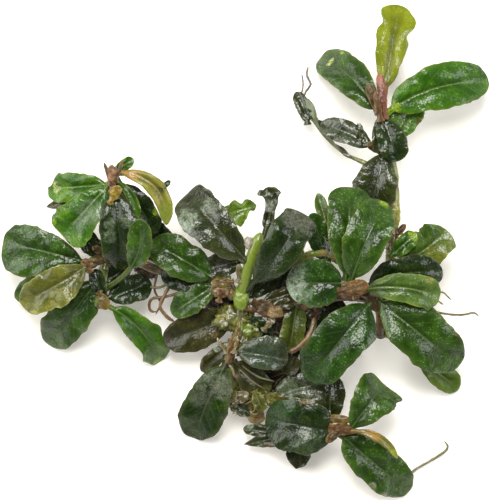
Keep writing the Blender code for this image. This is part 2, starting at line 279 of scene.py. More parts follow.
def add_tube(mesh, line, radius_at, sides):
    """Add a closed tube along a line. Its radius is a function of the share of the way and the turn."""
    frames = square_frames(line)
    placed = []
    for vert in upright_tube(mesh, sides, len(line) - 1):
        share = vert.co.z + 0.5
        turn = math.atan2(vert.co.y, vert.co.x)
        place, side, up = frames[round(share * (len(line) - 1))]
        vert.co = place + (side * math.cos(turn) + up * math.sin(turn)) * radius_at(share, turn)
        placed.append((vert, share, turn))
    return placed


def add_piece(name, mesh, finish):
    """The mesh as a piece of the plant. It stands for the solid of its name where the model has one."""
    piece = put_mesh(name, mesh, finish)
    piece.data.shade_smooth()
    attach(piece, "root")
    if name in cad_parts:
        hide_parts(name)


def grow_stem(stem):
    first, second = Vector(stem.points[0]), Vector(stem.points[1])
    sunk = first + (first - second).normalized() * SUNK_END
    line = smooth_line((sunk, *stem.points), STEM_STEPS)
    length = sum((end - start).length for start, end in zip(line, line[1:])) / MM

    def ring_at(share, turn):
        """1 on a leaf scar's ring, 0 between the rings."""
        phase = share * length / RING_GAP + RING_WANDER * math.sin(turn + share * 9)
        return stem.rings * max(0.0, 1 - abs(phase % 1 - 0.5) / RING_HALF_WIDTH)

    def radius_at(share, turn):
        from_end = min(share, 1 - share) * length
        closing = math.sqrt(min(from_end / stem.radius + 0.04, 1))
        lumps = noise.noise(Vector((share * length * 0.8, 1.4 * math.cos(turn), 1.4 * math.sin(turn))))
        swell = 1 + STEM_LUMPS * lumps * stem.rings + RING_HEIGHT * ring_at(share, turn)
        return stem.radius * MM * closing * swell

    mesh = bmesh.new()
    ring = mesh.verts.layers.float.new("ring")
    for vert, share, turn in add_tube(mesh, line, radius_at, STEM_SIDES):
        vert[ring] = ring_at(share, turn)
    add_piece(stem.name, mesh, stem_finish(stem.name, stem.skin, stem.blotch))


for stem in STEMS:
    grow_stem(stem)

# The left shoot's leaves, spread in a rosette. Every leaf of the plant is one thick, leathery blade on a
# short round stalk that clasps the stem. Its midrib is sunk, its top is glossy and its underside is paler.
LEAF_SIDES = 52
LEAF_STEPS = 52
HALF_THICKNESS = 0.24
STALK_HALF_WIDTH = 0.55
TIP_ROUNDING = 0.12
WAVES_PER_MARGIN = 2.3
MARGIN_SWAY, MARGIN_NICKS = 0.11, 0.06
RIB_DEPTH, RIB_HALF_WIDTH = 0.34, 0.60
RIDGE_HEIGHT, RIDGE_HALF_WIDTH = 0.16, 0.15
KEEL_DEPTH, KEEL_HALF_WIDTH = 0.30, 0.55
VEINS = 44
VEIN_SLANT, CREASE_SLANT = 0.30, 0.15
CREASE_DEPTH, MARGIN_CURL, BLADE_SWELL = 0.07, 0.28, 0.22
FLESH_CLOUDS, FLESH_GRAIN, PORES, TEARS, SWELLS = 330.0, 3200.0, 1800.0, 950.0, 1500.0
FLESH_RELIEF, GLOW_DEPTH = 0.07 * MM, 0.6 * MM
CLASP_FLARE, CLASP_REACH = 0.5, 0.10
LEAST_HEIGHT = 0.02
FOOT_BESIDE, FOOT_AT_END = 0.8, -0.4

LIME = (0.26, 0.37, 0.02)
FRESH = (0.105, 0.21, 0.012)
PALE_LIME = (0.48, 0.55, 0.16)
ORANGE = (0.3, 0.15, 0.03)
RUST = (0.13, 0.055, 0.02)
PALE = (0.34, 0.38, 0.3)
TAN = (0.3, 0.21, 0.11)
# Painted shade: a near-black laid where a blade lies in shade.
PAINTED_SHADE_BLACK = (0.006, 0.012, 0.003)
ROSY = (0.2, 0.06, 0.03)
# Painted sheen: pale grey-green tints laid where a glossy blade catches the light, one faint and one strong.
PAINTED_SHEEN = (0.12, 0.15, 0.09)
PAINTED_BRIGHT_SHEEN = (0.23, 0.28, 0.2)
STRAW = (0.28, 0.27, 0.07)

# A leaf in millimetres. Foot is where its stalk leaves the stem and tip is the far end. Bow moves the middle
# to the left and arch lifts it. Past the start of its bend the blade drops by that much to the tip. Roll and
# twist, in degrees, raise the left margin, and cup lifts both. Stalk is its share of the length, widest is
# where the blade is broadest, taper how thin its foot is, skew how much of the width is on the left, wave how
# far the margins ripple, and dome how far each half swells. Edge has (side, place, depth, reach) for each
# bulge or tear of a margin, and patches has (across, along, size, colour) for each blotch, either of the
# leaf's own colour or of painted sheen or shade.
Leaf = namedtuple(
    "Leaf",
    "look foot tip width bow arch roll twist cup bend stalk widest taper skew wave dome edge patches",
    defaults=(0, 2.6, 0, 0, 0.12, (0.6, 0), 0.07, 0.56, 0.5, 0, 0.3, 0.11, (), ()),
)

Look = namedtuple("Look", "body mottle fleck rim rib under slot roughness shine glow",
                  defaults=((0.09, 0.11, 0.04), "leaf", 0.22, 0.33, 0.0))
LOOKS = dict(
    deep=Look((0.006, 0.02, 0.001), (0.017, 0.054, 0.003), (0.1, 0.17, 0.06), (0.09, 0.08, 0.02),
              (0.045, 0.09, 0.02)),
    green=Look((0.011, 0.031, 0.001), (0.026, 0.068, 0.003), (0.11, 0.18, 0.06), (0.14, 0.12, 0.02),
               (0.06, 0.12, 0.02)),
    bright=Look((0.015, 0.06, 0.001), (0.036, 0.107, 0.003), (0.103, 0.215, 0.026), (0.155, 0.181, 0.026),
                (0.086, 0.172, 0.017)),
    spring=Look((0.055, 0.105, 0.006), (0.095, 0.16, 0.012), (0.16, 0.24, 0.06), (0.2, 0.2, 0.04),
                (0.16, 0.23, 0.05), shine=0.2),
    fresh=Look((0.028, 0.06, 0.006), (0.06, 0.112, 0.014), (0.129, 0.198, 0.052), (0.206, 0.224, 0.043),
               (0.146, 0.215, 0.052), slot="young_leaf"),
    lime=Look((0.133, 0.159, 0.006), (0.176, 0.206, 0.01), (0.241, 0.284, 0.034), (0.11, 0.07, 0.018),
              (0.077, 0.086, 0.007), slot="young_leaf", shine=0.22, glow=0.2),
    yellow=Look((0.056, 0.065, 0.007), (0.112, 0.116, 0.015), (0.206, 0.206, 0.06), (0.275, 0.258, 0.069),
                (0.163, 0.163, 0.043), slot="young_leaf", glow=0.1),
    gold=Look((0.14, 0.13, 0.01), (0.24, 0.222, 0.024), (0.275, 0.258, 0.077), (0.069, 0.052, 0.017),
              (0.249, 0.232, 0.086), slot="young_leaf", glow=0.1),
    slate=Look((0.008, 0.013, 0.001), (0.021, 0.029, 0.003), (0.06, 0.077, 0.026), (0.086, 0.086, 0.034),
               (0.06, 0.073, 0.026), shine=0.48),
    dark=Look((0.003, 0.01, 0.001), (0.012, 0.024, 0.002), (0.043, 0.069, 0.026), (0.069, 0.069, 0.026),
              (0.026, 0.043, 0.013), shine=0.32),
    dusky=Look((0.004, 0.016, 0.001), (0.016, 0.036, 0.003), (0.06, 0.085, 0.035), (0.08, 0.075, 0.03),
               (0.08, 0.095, 0.045), shine=0.1),
    brown=Look((0.015, 0.017, 0.003), (0.036, 0.034, 0.007), (0.077, 0.077, 0.026), (0.077, 0.056, 0.026),
               (0.052, 0.047, 0.017)),
    sheer=Look((0.028, 0.043, 0.003), (0.053, 0.071, 0.005), (0.12, 0.146, 0.034), (0.138, 0.155, 0.034),
               (0.095, 0.12, 0.034), glow=0.1),
)


@cache
def leaf_finish(look_name):
    """Wet leaf skin: mottled flesh, pale flecks, midrib line, faint side veins, thin rim and blotches. The
    midrib line and rim are partly painted highlight, the midrib's groove is painted shade, and some blotches
    are painted sheen or shade.
    """
    look = LOOKS[look_name]
    finish, shader = new_finish("leaf_" + look_name, roughness=look.roughness, specular=look.shine)
    tree = finish.node_tree
    cloudy = pattern(tree, "TexNoise", FLESH_CLOUDS, 5.0, 0.62)
    fine = pattern(tree, "TexNoise", FLESH_GRAIN, 2.0, 0.6)
    spots = pattern(tree, "TexVoronoi", PORES)
    colour = blend(step_between(cloudy, 0.38, 0.64), look.body, look.mottle)
    fleck = scaled(step_between(spots, 0.40, 0.14), step_between(cloudy, 0.44, 0.60))
    colour = paint(colour, fleck, 0.8, look.fleck)
    from_margin = attribute(tree, "margin")
    colour = paint(colour, step_between(from_margin, 1.6, 0.2), 0.30, look.rib)

    across = wire(tree, "SeparateXYZ", wire(tree, "UVMap", uv_map="blade"))
    along = across.node.outputs[1]
    slant = wire(tree, "Math", across, -VEIN_SLANT, along, operation="MULTIPLY_ADD")
    vein = wire(tree, "Math", scaled(slant, VEINS), None, operation="SINE")
    vein = scaled(step_between(vein, 0.80, 1.0), step_between(across, 0.95, 0.5))
    colour = paint(colour, vein, 0.22, look.rib)

    from_rib = attribute(tree, "rib")
    # Painted shade: the blade is darkened in the sunk groove on each side of the midrib.
    painted_groove_shade = scaled(step_between(from_rib, 1.1, 0.45), step_between(along, 1.0, 0.6))
    colour = paint(colour, painted_groove_shade, 0.45, PAINTED_SHADE_BLACK)
    # A pale line on the midrib: partly the rib's own paler colour, partly a painted highlight on its crest.
    rib = scaled(step_between(from_rib, 0.22, 0.05), step_between(along, 0.95, 0.5))
    colour = paint(colour, rib, 0.7, look.rib)
    # A thin rim on the margin: partly the leaf's own edge colour, partly a painted edge highlight and halo.
    rim = scaled(step_between(from_margin, 0.32, 0.10), step_between(cloudy, 0.35, 0.55))
    colour = paint(colour, rim, 0.6, look.rim)

    # The blotches: the leaf's own colours, and painted sheen and painted shade where the rows ask for them.
    strength = attribute(tree, "blotch", "Alpha")
    torn = pattern(tree, "TexNoise", TEARS, 3.0, 0.6)
    ragged = wire(tree, "Math", torn, 4.6, -2.3, operation="MULTIPLY_ADD")
    ragged = wire(tree, "Math", strength, ragged, operation="ADD")
    ragged = scaled(step_between(ragged, -0.3, 1.5), step_between(strength, 0.02, 0.65))
    specked = wire(tree, "MapRange", fine, 0.42, 0.58, 0.35, 0.85)
    colour = paint(colour, ragged, specked, attribute(tree, "blotch", "Color"))
    colour = paint(colour, attribute(tree, "under"), 0.8, look.under)

    gloss = wire(tree, "MapRange", fine, 0.35, 0.65, look.roughness - 0.05, look.roughness + 0.06)
    tree.links.new(gloss, shader.inputs["Roughness"])
    pebbles = wire(tree, "Math", spots, 2.0, operation="POWER")
    swell = pattern(tree, "TexNoise", SWELLS, 1.0, 0.5)
    relief = wire(tree, "Math", scaled(swell, 0.36), pebbles, operation="SUBTRACT")
    cover(shader, colour, relief, 0.8, FLESH_RELIEF)
    if look.glow:
        set_inputs(shader, Subsurface_Weight=look.glow, Subsurface_Radius=(0.6, 1.0, 0.2),
                   Subsurface_Scale=GLOW_DEPTH)
    return finish


def ease(value):
    value = min(max(value, 0), 1)
    return value * value * (3 - 2 * value)


def set_on_stem(leaf):
    """The leaf with its foot moved just inside the nearest stem's skin."""
    foot = Vector(leaf.foot)
    found = []
    for stem in STEMS:
        for start, end in zip(stem.points, stem.points[1:]):
            start, end = Vector(start), Vector(end)
            share = min(max(intersect_point_line(foot, start, end)[1], 0), 1)
            found.append((start.lerp(end, share), (end - start).normalized()))
    near, along = min(found, key=lambda middle: (middle[0] - foot).length)
    away = (foot - near).normalized()
    past_end = abs(away.dot(along))
    return leaf._replace(foot=tuple(near + away * (FOOT_BESIDE * (1 - past_end) + FOOT_AT_END * past_end)))


def blade_share(leaf, u, s):
    """Half width of the blade as a share of its greatest, with its margin's uneven line, bulges and tears."""
    tip_power = leaf.taper * (1 - leaf.widest) / leaf.widest
    share = (s / leaf.widest) ** leaf.taper * ((1 - s) / (1 - leaf.widest)) ** tip_power
    seed = leaf.tip[0] * 3 + math.copysign(3, u)
    uneven = 1 + MARGIN_SWAY * noise.noise(Vector((s * 5, seed, 0)))
    uneven += MARGIN_NICKS * noise.noise(Vector((s * 14, seed, 7)))
    for edge_side, place, depth, reach in leaf.edge:
        if edge_side * u > 0:
            uneven += depth * math.exp(-(((s - place) / reach) ** 2))
    return share * uneven


def blade_lift(leaf, u, s, half, middle):
    """How far the blade's middle layer stands above the flat: cup, domes, midrib, ripples and creases."""
    out = abs(u) * half
    phase = 1.9 if u > 0 else 4.0
    lift = leaf.cup * half * u * u + leaf.wave * u * u * math.sin(math.tau * WAVES_PER_MARGIN * s + phase)
    lift += leaf.dome * half * math.sin(math.pi * min(abs(u), 1))
    lift -= RIB_DEPTH * math.exp(-((out / RIB_HALF_WIDTH) ** 2)) * (1 - 0.7 * s)
    lift += RIDGE_HEIGHT * math.exp(-((out / RIDGE_HALF_WIDTH) ** 2)) * (1 - s)
    creases = CREASE_DEPTH * math.sin(VEINS * (s - CREASE_SLANT * abs(u))) * abs(u) * (1.2 - abs(u))
    creases += MARGIN_CURL * u * u * noise.noise(Vector((leaf.foot[0] + 40, leaf.foot[1] - 20 + u, s * 14)))
    creases += BLADE_SWELL * noise.noise(Vector((middle.x * 0.45 + u * half * 0.4, middle.y * 0.45, 5 + u)))
    return lift + creases * min((leaf.width / 8) ** 2, 1)


def leaf_point(leaf, u, v, face):
    """A point of the leaf's skin in millimetres: u from -1 to 1 across to the left, v from 0 at the foot to 1
    at the tip, face from -1 underneath to 1 on top. The half width and the blade's share come with it."""
    foot, tip = Vector(leaf.foot), Vector(leaf.tip)
    left = Vector((foot.y - tip.y, tip.x - foot.x, 0)).normalized()
    turn = (foot + tip) / 2 + left * 2 * leaf.bow + Vector((0, 0, 2 * leaf.arch))

    s = max(v - leaf.stalk, 0) / (1 - leaf.stalk)
    rounding = ease((s - 0.6) / 0.4)
    s = max(s - TIP_ROUNDING * rounding * u * u, 0)
    t = min(v, leaf.stalk) + (1 - leaf.stalk) * s
    middle = foot * (1 - t) ** 2 + turn * 2 * t * (1 - t) + tip * t * t
    along = ((turn - foot) * (1 - t) + (tip - turn) * t).normalized()
    side = (left - along * left.dot(along)).normalized()
    up = along.cross(side)
    angle = math.radians(leaf.roll + leaf.twist * t)
    side, up = side * math.cos(angle) + up * math.sin(angle), up * math.cos(angle) - side * math.sin(angle)

    blade = ease(s * 4)
    half = max(leaf.width / 2 * blade_share(leaf, u, s), STALK_HALF_WIDTH * (1 - blade))
    across = math.copysign(abs(u) ** (1 - rounding * 0.6), u) if u else 0
    thick = HALF_THICKNESS * blade * (0.45 + 0.55 * (1 - s)) + STALK_HALF_WIDTH * 0.95 * (1 - blade)
    if face < 0:
        thick += blade * KEEL_DEPTH * math.exp(-((abs(u) * half / KEEL_HALF_WIDTH) ** 2)) * (1 - s)
    flare = 1 + CLASP_FLARE * (1 - ease(v / CLASP_REACH))
    place = middle + side * across * half * (1 + math.copysign(leaf.skew, u)) * flare
    place += up * (blade * blade_lift(leaf, u, s, half, middle) + face * thick * flare)
    start, drop = leaf.bend
    place.z -= drop * max(s - start, 0) / (1 - start) * ease((s - start) * 6)
    place.z = max(place.z, LEAST_HEIGHT + (face + 1) * 0.1)
    return place, half, s


def blotch_at(leaf, u, s, half, length):
    """The colour and strength of the leaf's blotches here: its own colours, painted sheen and painted shade.
    """
    colour, strength = Vector((0, 0, 0)), 0.0
    for across, along, size, patch_colour in leaf.patches:
        weight = ease(1.5 - math.hypot((u - across) * half, (s - along) * length) / size)
        if weight:
            colour = colour.lerp(Vector(patch_colour), weight if strength else 1)
            strength = max(strength, weight)
    return (*colour, strength)


def grow_leaf(name, leaf):
    """One leaf as a closed tube whose section flattens from the round stalk to the thin blade."""
    leaf = set_on_stem(leaf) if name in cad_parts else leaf
    mesh = bmesh.new()
    blade = mesh.loops.layers.uv.new("blade")
    rib, margin, under = (mesh.verts.layers.float.new(layer) for layer in ("rib", "margin", "under"))
    blotch = mesh.verts.layers.float_color.new("blotch")
    length = (Vector(leaf.tip) - Vector(leaf.foot)).length
    on_blade = {}
    for vert in upright_tube(mesh, LEAF_SIDES, LEAF_STEPS):
        turn = math.atan2(vert.co.y, vert.co.x)
        u = math.copysign(abs(math.cos(turn)) ** 1.5, math.cos(turn))
        face = math.sin(turn)
        place, half, s = leaf_point(leaf, u, vert.co.z + 0.5, face)
        vert.co = place * MM
        vert[rib] = abs(u) * half
        vert[margin] = min((1 - abs(u)) * half, (1 - s) * length)
        vert[under] = 1.0 if face < -0.05 else 0.0
        vert[blotch] = blotch_at(leaf, u, s, half, length) if face > -0.05 else (0, 0, 0, 0)
        on_blade[vert] = (abs(u), s)
    for corner in (loop for face in mesh.faces for loop in face.loops):
        corner[blade].uv = on_blade[corner.vert]
    bmesh.ops.recalc_face_normals(mesh, faces=mesh.faces)
    add_piece(name, mesh, leaf_finish(leaf.look))


def grow_group(grow, group, *rows):
    """Grow each row as a piece, named after the group and numbered in their order."""
    for number, row in enumerate(rows, 1):
        grow(f"{group}_{number}", row)


grow_group(
    grow_leaf, "left_leaf",
    # Painted shade: the blackish patch darkens its foot, under the leaves above.
    Leaf("green", (-33.4, -2.4, 11.2), (-49, 1.4, 7.8), 10.4, bow=-0.3, arch=2.1, widest=0.68, taper=0.7,
         skew=0.13, patches=((0.3, 0.12, 2.2, PAINTED_SHADE_BLACK),)),
    Leaf("yellow", (-32.8, -3.7, 15.9), (-45.4, -10.6, 11.2), 7.6, bow=0.5, arch=2.9, skew=0.06, wave=0.6,
         edge=((1, 0.42, 0.1, 0.1), (1, 0.6, -0.08, 0.05)),
         patches=((-0.6, 0.5, 2.4, (0.05, 0.055, 0.006)), (0.1, 0.15, 2.2, (0.045, 0.05, 0.006)),
                  (0.9, 0.62, 1.4, STRAW), (0.9, 0.85, 1.2, STRAW))),
    Leaf("green", (-31.2, -5.4, 9.6), (-40.2, -19, 0.25), 8.6, arch=3.4, skew=-0.04,
         edge=((1, 0.62, -0.1, 0.06), (-1, 0.82, 0.12, 0.1)),
         patches=((0.5, 0.35, 1.8, (0.008, 0.03, 0.004)),)),
    Leaf("green", (-33.4, -4.2, 8.8), (-46.8, -9.6, 3.9), 5.6, arch=1.3,
         patches=((-0.3, 0.75, 1.6, (0.1, 0.16, 0.015)),)),
)

# The upper left shoot's leaves, on top of that rosette: two broad green ones that point down and left, a dark
# one that hangs straight down, the arched yellow one and a small folded one at the top.
grow_group(
    grow_leaf, "upper_left_leaf",
    # Its last pale patch is painted sheen; the lime ones are its own colour.
    Leaf("bright", (-28.6, 12.6, 16.9), (-36.9, 3, 15.1), 8.8, arch=1.6, roll=10, widest=0.84, taper=0.5,
         skew=-0.06, patches=((0.5, 0.9, 1.8, FRESH), (-0.6, 0.75, 1.4, FRESH), (-0.5, 0.95, 0.9, LIME),
                              (0.3, 0.45, 2.6, PAINTED_SHEEN))),
    Leaf("bright", (-28.6, 13.8, 14.3), (-39.9, 12.2, 10.4), 6.2, arch=1.6, widest=0.72, wave=0.4,
         edge=((-1, 0.96, -0.7, 0.1), (1, 0.9, -0.2, 0.1)),
         patches=((0.3, 0.7, 2, FRESH), (-0.1, 0.84, 0.8, PALE_LIME))),
    # Its pale patches are painted sheen streaks beside the midrib.
    Leaf("dark", (-25.4, 11, 19), (-24.6, -4, 12.5), 8.4, arch=3.4, taper=0.6, skew=-0.04,
         patches=((-0.5, 0.55, 1.3, PAINTED_SHEEN), (-0.45, 0.4, 1.2, PAINTED_SHEEN), (0.4, 0.42, 1.2, PAINTED_SHEEN))),
    Leaf("gold", (-25, 14.8, 19.2), (-16, 5, 16.1), 3.6, bow=3.6,
         patches=((0, 0.1, 1.8, ORANGE), (0.4, 0.9, 2.4, (0.17, 0.25, 0.02)))),
    Leaf("bright", (-26.2, 17.4, 18.7), (-22.6, 18.2, 18.2), 2.4, arch=0.4),
)

# The middle left shoot's leaves: one on a long stalk that climbs past the dark leaf above, a dark one that
# points right, and the fresh green one whose tip reaches the table.
grow_group(
    grow_leaf, "middle_left_leaf",
    Leaf("green", (-27.4, -7.4, 10.4), (-21.4, 6.2, 21.6), 5.2, bow=-2.9, arch=1.3, stalk=0.4,
         patches=((0.7, 0.6, 2.2, (0.045, 0.11, 0.008)),)),
    Leaf("dark", (-27.6, -9.8, 9.1), (-19.2, -6.6, 7.3), 5.6, arch=1),
    Leaf("bright", (-27.8, -11.4, 11.7), (-17.6, -22.6, 0.25), 5.8, bow=1.8, arch=3.2, stalk=0.16,
         widest=0.66, taper=0.4, wave=0.6,
         edge=((1, 0.62, 0.3, 0.08), (-1, 0.84, 0.16, 0.06), (-1, 0.3, 0.18, 0.08), (1, 0.9, 0.2, 0.05)),
         patches=((0.6, 0.85, 1.8, FRESH), (-0.2, 0.97, 0.8, LIME))),
)

# The centre shoot's leaves: the broad grey-green ones stand over the tangle, the curly one is half unrolled,
# and the lowest is so thin that light shows through.
grow_group(
    grow_leaf, "centre_leaf",
    # Its grey patch at the end is painted sheen.
    Leaf("dark", (1, -8.4, 12.7), (11, 7.4, 20.3), 8.4, bow=-0.8, arch=3.2, bend=(0.62, 2.4), stalk=0.12,
         widest=0.68, taper=0.55, dome=0.16,
         edge=((1, 0.97, 0.35, 0.05), (-1, 0.95, 0.2, 0.06), (-1, 0.7, -0.1, 0.1)),
         patches=((0, 0.95, 3.8, (0.12, 0.12, 0.09)),)),
    # Its large pale patch is the ribbon's own paler grey; the small whitish one is a painted highlight.
    Leaf("slate", (1.6, -3, 13.5), (4.9, 12.6, 16.6), 3, bow=-1, arch=-0.5, cup=0.6, stalk=0.5, wave=0.7,
         widest=0.75, taper=0.25,
         edge=((1, 0.5, -0.35, 0.2), (-1, 0.45, -0.2, 0.14), (1, 0.88, 0.5, 0.1), (-1, 0.9, 0.35, 0.07)),
         patches=((0.3, 0.6, 3.2, (0.2, 0.22, 0.17)), (0.3, 0.45, 0.8, (0.42, 0.42, 0.36)))),
    # Its pale patches are painted sheen on its far half.
    Leaf("slate", (-1.6, -1.8, 16.1), (-12, 11.2, 15.6), 9.2, arch=3, bend=(0.45, 1.8), widest=0.72,
         taper=0.45, skew=0.13, edge=((-1, 0.98, 0.25, 0.05), (1, 0.86, -0.1, 0.06)),
         patches=((0.7, 0.75, 2.4, PAINTED_BRIGHT_SHEEN), (-0.4, 0.7, 1.6, PAINTED_SHEEN))),
    Leaf("green", (-6.6, -5.4, 13.7), (-19, 1.8, 12), 7.8, arch=2.3, roll=3),
    # Its pale patch is painted sheen.
    Leaf("green", (-6.2, -7.9, 11.4), (-15.2, -12.6, 8.6), 5.4, arch=1.8, roll=8,
         patches=((-0.3, 0.5, 1, PAINTED_SHEEN),)),
    Leaf("brown", (-3.4, -12.6, 8.6), (-16.8, -18, 5.7), 8.2, bow=0.4, arch=0.4, roll=-7,
         edge=((-1, 0.85, -0.25, 0.18),),
         patches=((0.6, 0.3, 0.9, (0.14, 0.1, 0.05)), (0.1, 0.97, 1.2, (0.05, 0.042, 0.045)))),
    Leaf("sheer", (9.6, -10, 11.6), (8.5, -20.6, 8.4), 4.8, arch=0.5, stalk=0.03, widest=0.5, taper=0.22,
         edge=((1, 0.75, 0.1, 0.1),)),
)

# The lower shoot's leaves, which fan out below the tangle. The first hangs down to the table, with a grainy
# grey sheen painted near its foot.
# Painted sheen: a grey tint for the gloss on both sides of the hanging leaf's midrib.
PAINTED_GREY_SHEEN = (0.13, 0.14, 0.10)

grow_group(
    grow_leaf, "lower_leaf",
    Leaf("dusky", (-5.4, -22.6, 10.4), (-10.7, -38, 0.25), 8.9, bow=-0.4, arch=3.7, bend=(0.6, -0.4),
         widest=0.6, taper=0.45, skew=0.02, wave=0.4, edge=((1, 0.92, -0.14, 0.12), (-1, 0.72, 0.08, 0.15)),
         patches=((0.35, 0.24, 2.6, PAINTED_GREY_SHEEN), (-0.35, 0.26, 2.6, PAINTED_GREY_SHEEN), (-0.4, 0.46, 2.2, (0.09, 0.1, 0.07)))),
    Leaf("brown", (-3.6, -18, 8.3), (-9.2, -24.4, 5.2), 3.6, arch=1,
         patches=((-0.6, 0.3, 0.8, PALE), (0.2, 0.1, 0.8, PALE))),
    Leaf("slate", (-1.2, -20.8, 11.2), (8.2, -21.9, 9.6), 6.8, arch=1.8, skew=-0.15,
         patches=((0, 0.5, 4, (0.045, 0.066, 0.045)),)),
    Leaf("brown", (-2, -22.4, 9.1), (4.2, -29, 4.7), 5.8, arch=1,
         patches=((0, 0.95, 1.8, (0.1, 0.11, 0.014)),)),
    # Its pale patches are painted sheen.
    Leaf("slate", (5.2, -28.6, 4.7), (15.8, -26.8, 5.7), 5.8, bow=0.6, arch=0.8, taper=0.4,
         patches=((0.3, 0.3, 2.4, PAINTED_SHEEN), (-0.2, 0.7, 2.4, PAINTED_SHEEN))),
)

# The right shoot's leaves, the largest rosette: ten blades round one brown node. The round one lies over its
# left side, and a small pale one looks out below the big ones.
KHAKI = (0.17, 0.17, 0.02)

grow_group(
    grow_leaf, "right_leaf",
    Leaf("green", (19.8, -4.9, 16.4), (20.6, 12.6, 14.3), 9, arch=3.1, widest=0.7, taper=0.6),
    Leaf("green", (21.6, -5.8, 18.1), (27.4, 9.6, 17.7), 8.9, bow=0.5, arch=4.4, cup=0.2, skew=0.04,
         patches=((-0.1, 0.97, 0.6, LIME),)),
    Leaf("dark", (24.2, -6.4, 14.3), (39.2, -5, 13), 7.2, bow=1.6, arch=2.1),
    Leaf("fresh", (24.6, -7.8, 16.9), (38.4, -9.6, 15.3), 6.2, bow=1.3, arch=2.7, widest=0.66,
         edge=((-1, 0.9, 0.22, 0.07), (1, 0.8, 0.08, 0.1)), patches=((0.8, 0.8, 1.2, KHAKI),)),
    Leaf("fresh", (31, -2.8, 10.9), (39.8, 4.2, 10.9), 8, bow=-1.2, arch=1, widest=0.64, wave=0.7,
         edge=((1, 0.45, 0.14, 0.05), (1, 0.62, -0.14, 0.04), (1, 0.8, 0.1, 0.05), (-1, 0.9, 0.12, 0.06)),
         patches=((-0.6, 0.6, 2.4, KHAKI), (-0.5, 0.85, 1.6, (0.11, 0.12, 0.014)))),
    Leaf("deep", (25, -11.6, 15.1), (12.2, -26, 11.2), 10.2, arch=3.9, taper=0.45, wave=0.4,
         edge=((1, 0.18, 0.25, 0.14), (-1, 0.8, 0.06, 0.1), (1, 0.95, -0.12, 0.06))),
    Leaf("green", (27.6, -9.8, 14), (42.6, -23.2, 9.1), 10.6, arch=3.9, edge=((1, 0.4, 0.1, 0.14),),
         patches=((1, 0.75, 0.9, RUST), (0.9, 0.95, 0.8, RUST))),
    Leaf("spring", (28.8, -16.6, 6.5), (42.8, -28, 0.3), 5.4, arch=1.8, roll=-9, stalk=0.5),
    # Its silver patches are painted sheen on the far half that droops.
    Leaf("deep", (17.8, -6.7, 17.4), (7.8, -6.6, 15.6), 10, arch=0.5, bend=(0.48, 1.3), roll=-7, widest=0.5,
         dome=0.05, patches=((0.5, 0.85, 2.6, PAINTED_BRIGHT_SHEEN), (-0.5, 0.85, 2.6, PAINTED_BRIGHT_SHEEN), (0, 0.75, 1.2, PAINTED_BRIGHT_SHEEN))),
    Leaf("deep", (17.2, -7, 12), (13, 7.4, 15.1), 4.6, arch=0, stalk=0.35),
)

# The upper right shoot's leaves: the lime one at the end is the youngest, and the thin twisted one on the
# left is half withered.
# Painted sheen: a dull grey tint for the gloss on the sixth leaf.
PAINTED_DULL_SHEEN = (0.075, 0.090, 0.060)

grow_group(
    grow_leaf, "upper_right_leaf",
    Leaf("lime", (27, 28.6, 10), (30.6, 49.2, 6.5), 7, bow=0.3, arch=1.8, stalk=0.25, widest=0.66, taper=0.55,
         wave=0.4, edge=((-1, 0.63, -0.26, 0.07), (-1, 0.84, 0.24, 0.1), (1, 0.76, -0.22, 0.07),
                         (1, 0.93, 0.25, 0.07), (-1, 0.25, -0.12, 0.15)),
         patches=((0, 0, 1.3, ROSY), (0.1, 0.3, 1.6, (0.12, 0.125, 0.006)))),
    Leaf("green", (25.4, 27.2, 9.1), (14.9, 39, 0.25), 7.6, bow=-1.2, arch=3.4, widest=0.64,
         edge=((-1, 0.12, -0.2, 0.15),),
         patches=((0, 0.85, 0.45, PALE_LIME), (-0.7, 0.8, 0.5, LIME), (0.4, 0.9, 0.35, LIME))),
    Leaf("bright", (28.9, 27.4, 10.4), (48.7, 33.4, 6.5), 9.2, bow=2.1, arch=3.1, wave=0.4, skew=0.03,
         patches=((-1, 0.9, 0.9, RUST), (-1, 0.75, 0.6, RUST), (0, 0, 1.8, LIME))),
    Leaf("bright", (29.8, 22.2, 8.3), (34.4, 30.4, 6.5), 6.2, arch=0.8,
         patches=((-0.9, 0.6, 0.7, RUST), (0.3, 0.4, 2.6, (0.07, 0.12, 0.02)))),
    Leaf("dark", (27.4, 26.2, 12.7), (30.4, 17.8, 11.4), 6, arch=1.2),
    # Its grey patches are painted sheen.
    Leaf("slate", (26.2, 18.4, 7.8), (14.6, 25.2, 6.5), 4.8, bow=-0.9, arch=1, roll=10, stalk=0.25,
         patches=((0, 0.35, 3.2, PAINTED_DULL_SHEEN), (0, 0.8, 2.6, PAINTED_DULL_SHEEN))),
    Leaf("slate", (28, 15.8, 6.8), (11.2, 30.4, 3.9), 3.4, bow=3, arch=0.5, twist=150, stalk=0.24,
         widest=0.86, taper=1.1, wave=0.4,
         patches=((0, 0, 2.4, (0.19, 0.2, 0.02)), (0, 0.6, 2.6, (0.05, 0.055, 0.04)))),
    Leaf("slate", (26.2, 19.8, 10.4), (24.4, 6.6, 8.3), 8.6, arch=2.1, taper=0.6,
         edge=((-1, 0.5, 0.12, 0.1),)),
)

# The bottom shoot's leaves. The round dark one covers most of the others on its left, and the narrow yellow
# one is a young blade that lies over the last big leaf.
CHALKY = (0.26, 0.25, 0.17)

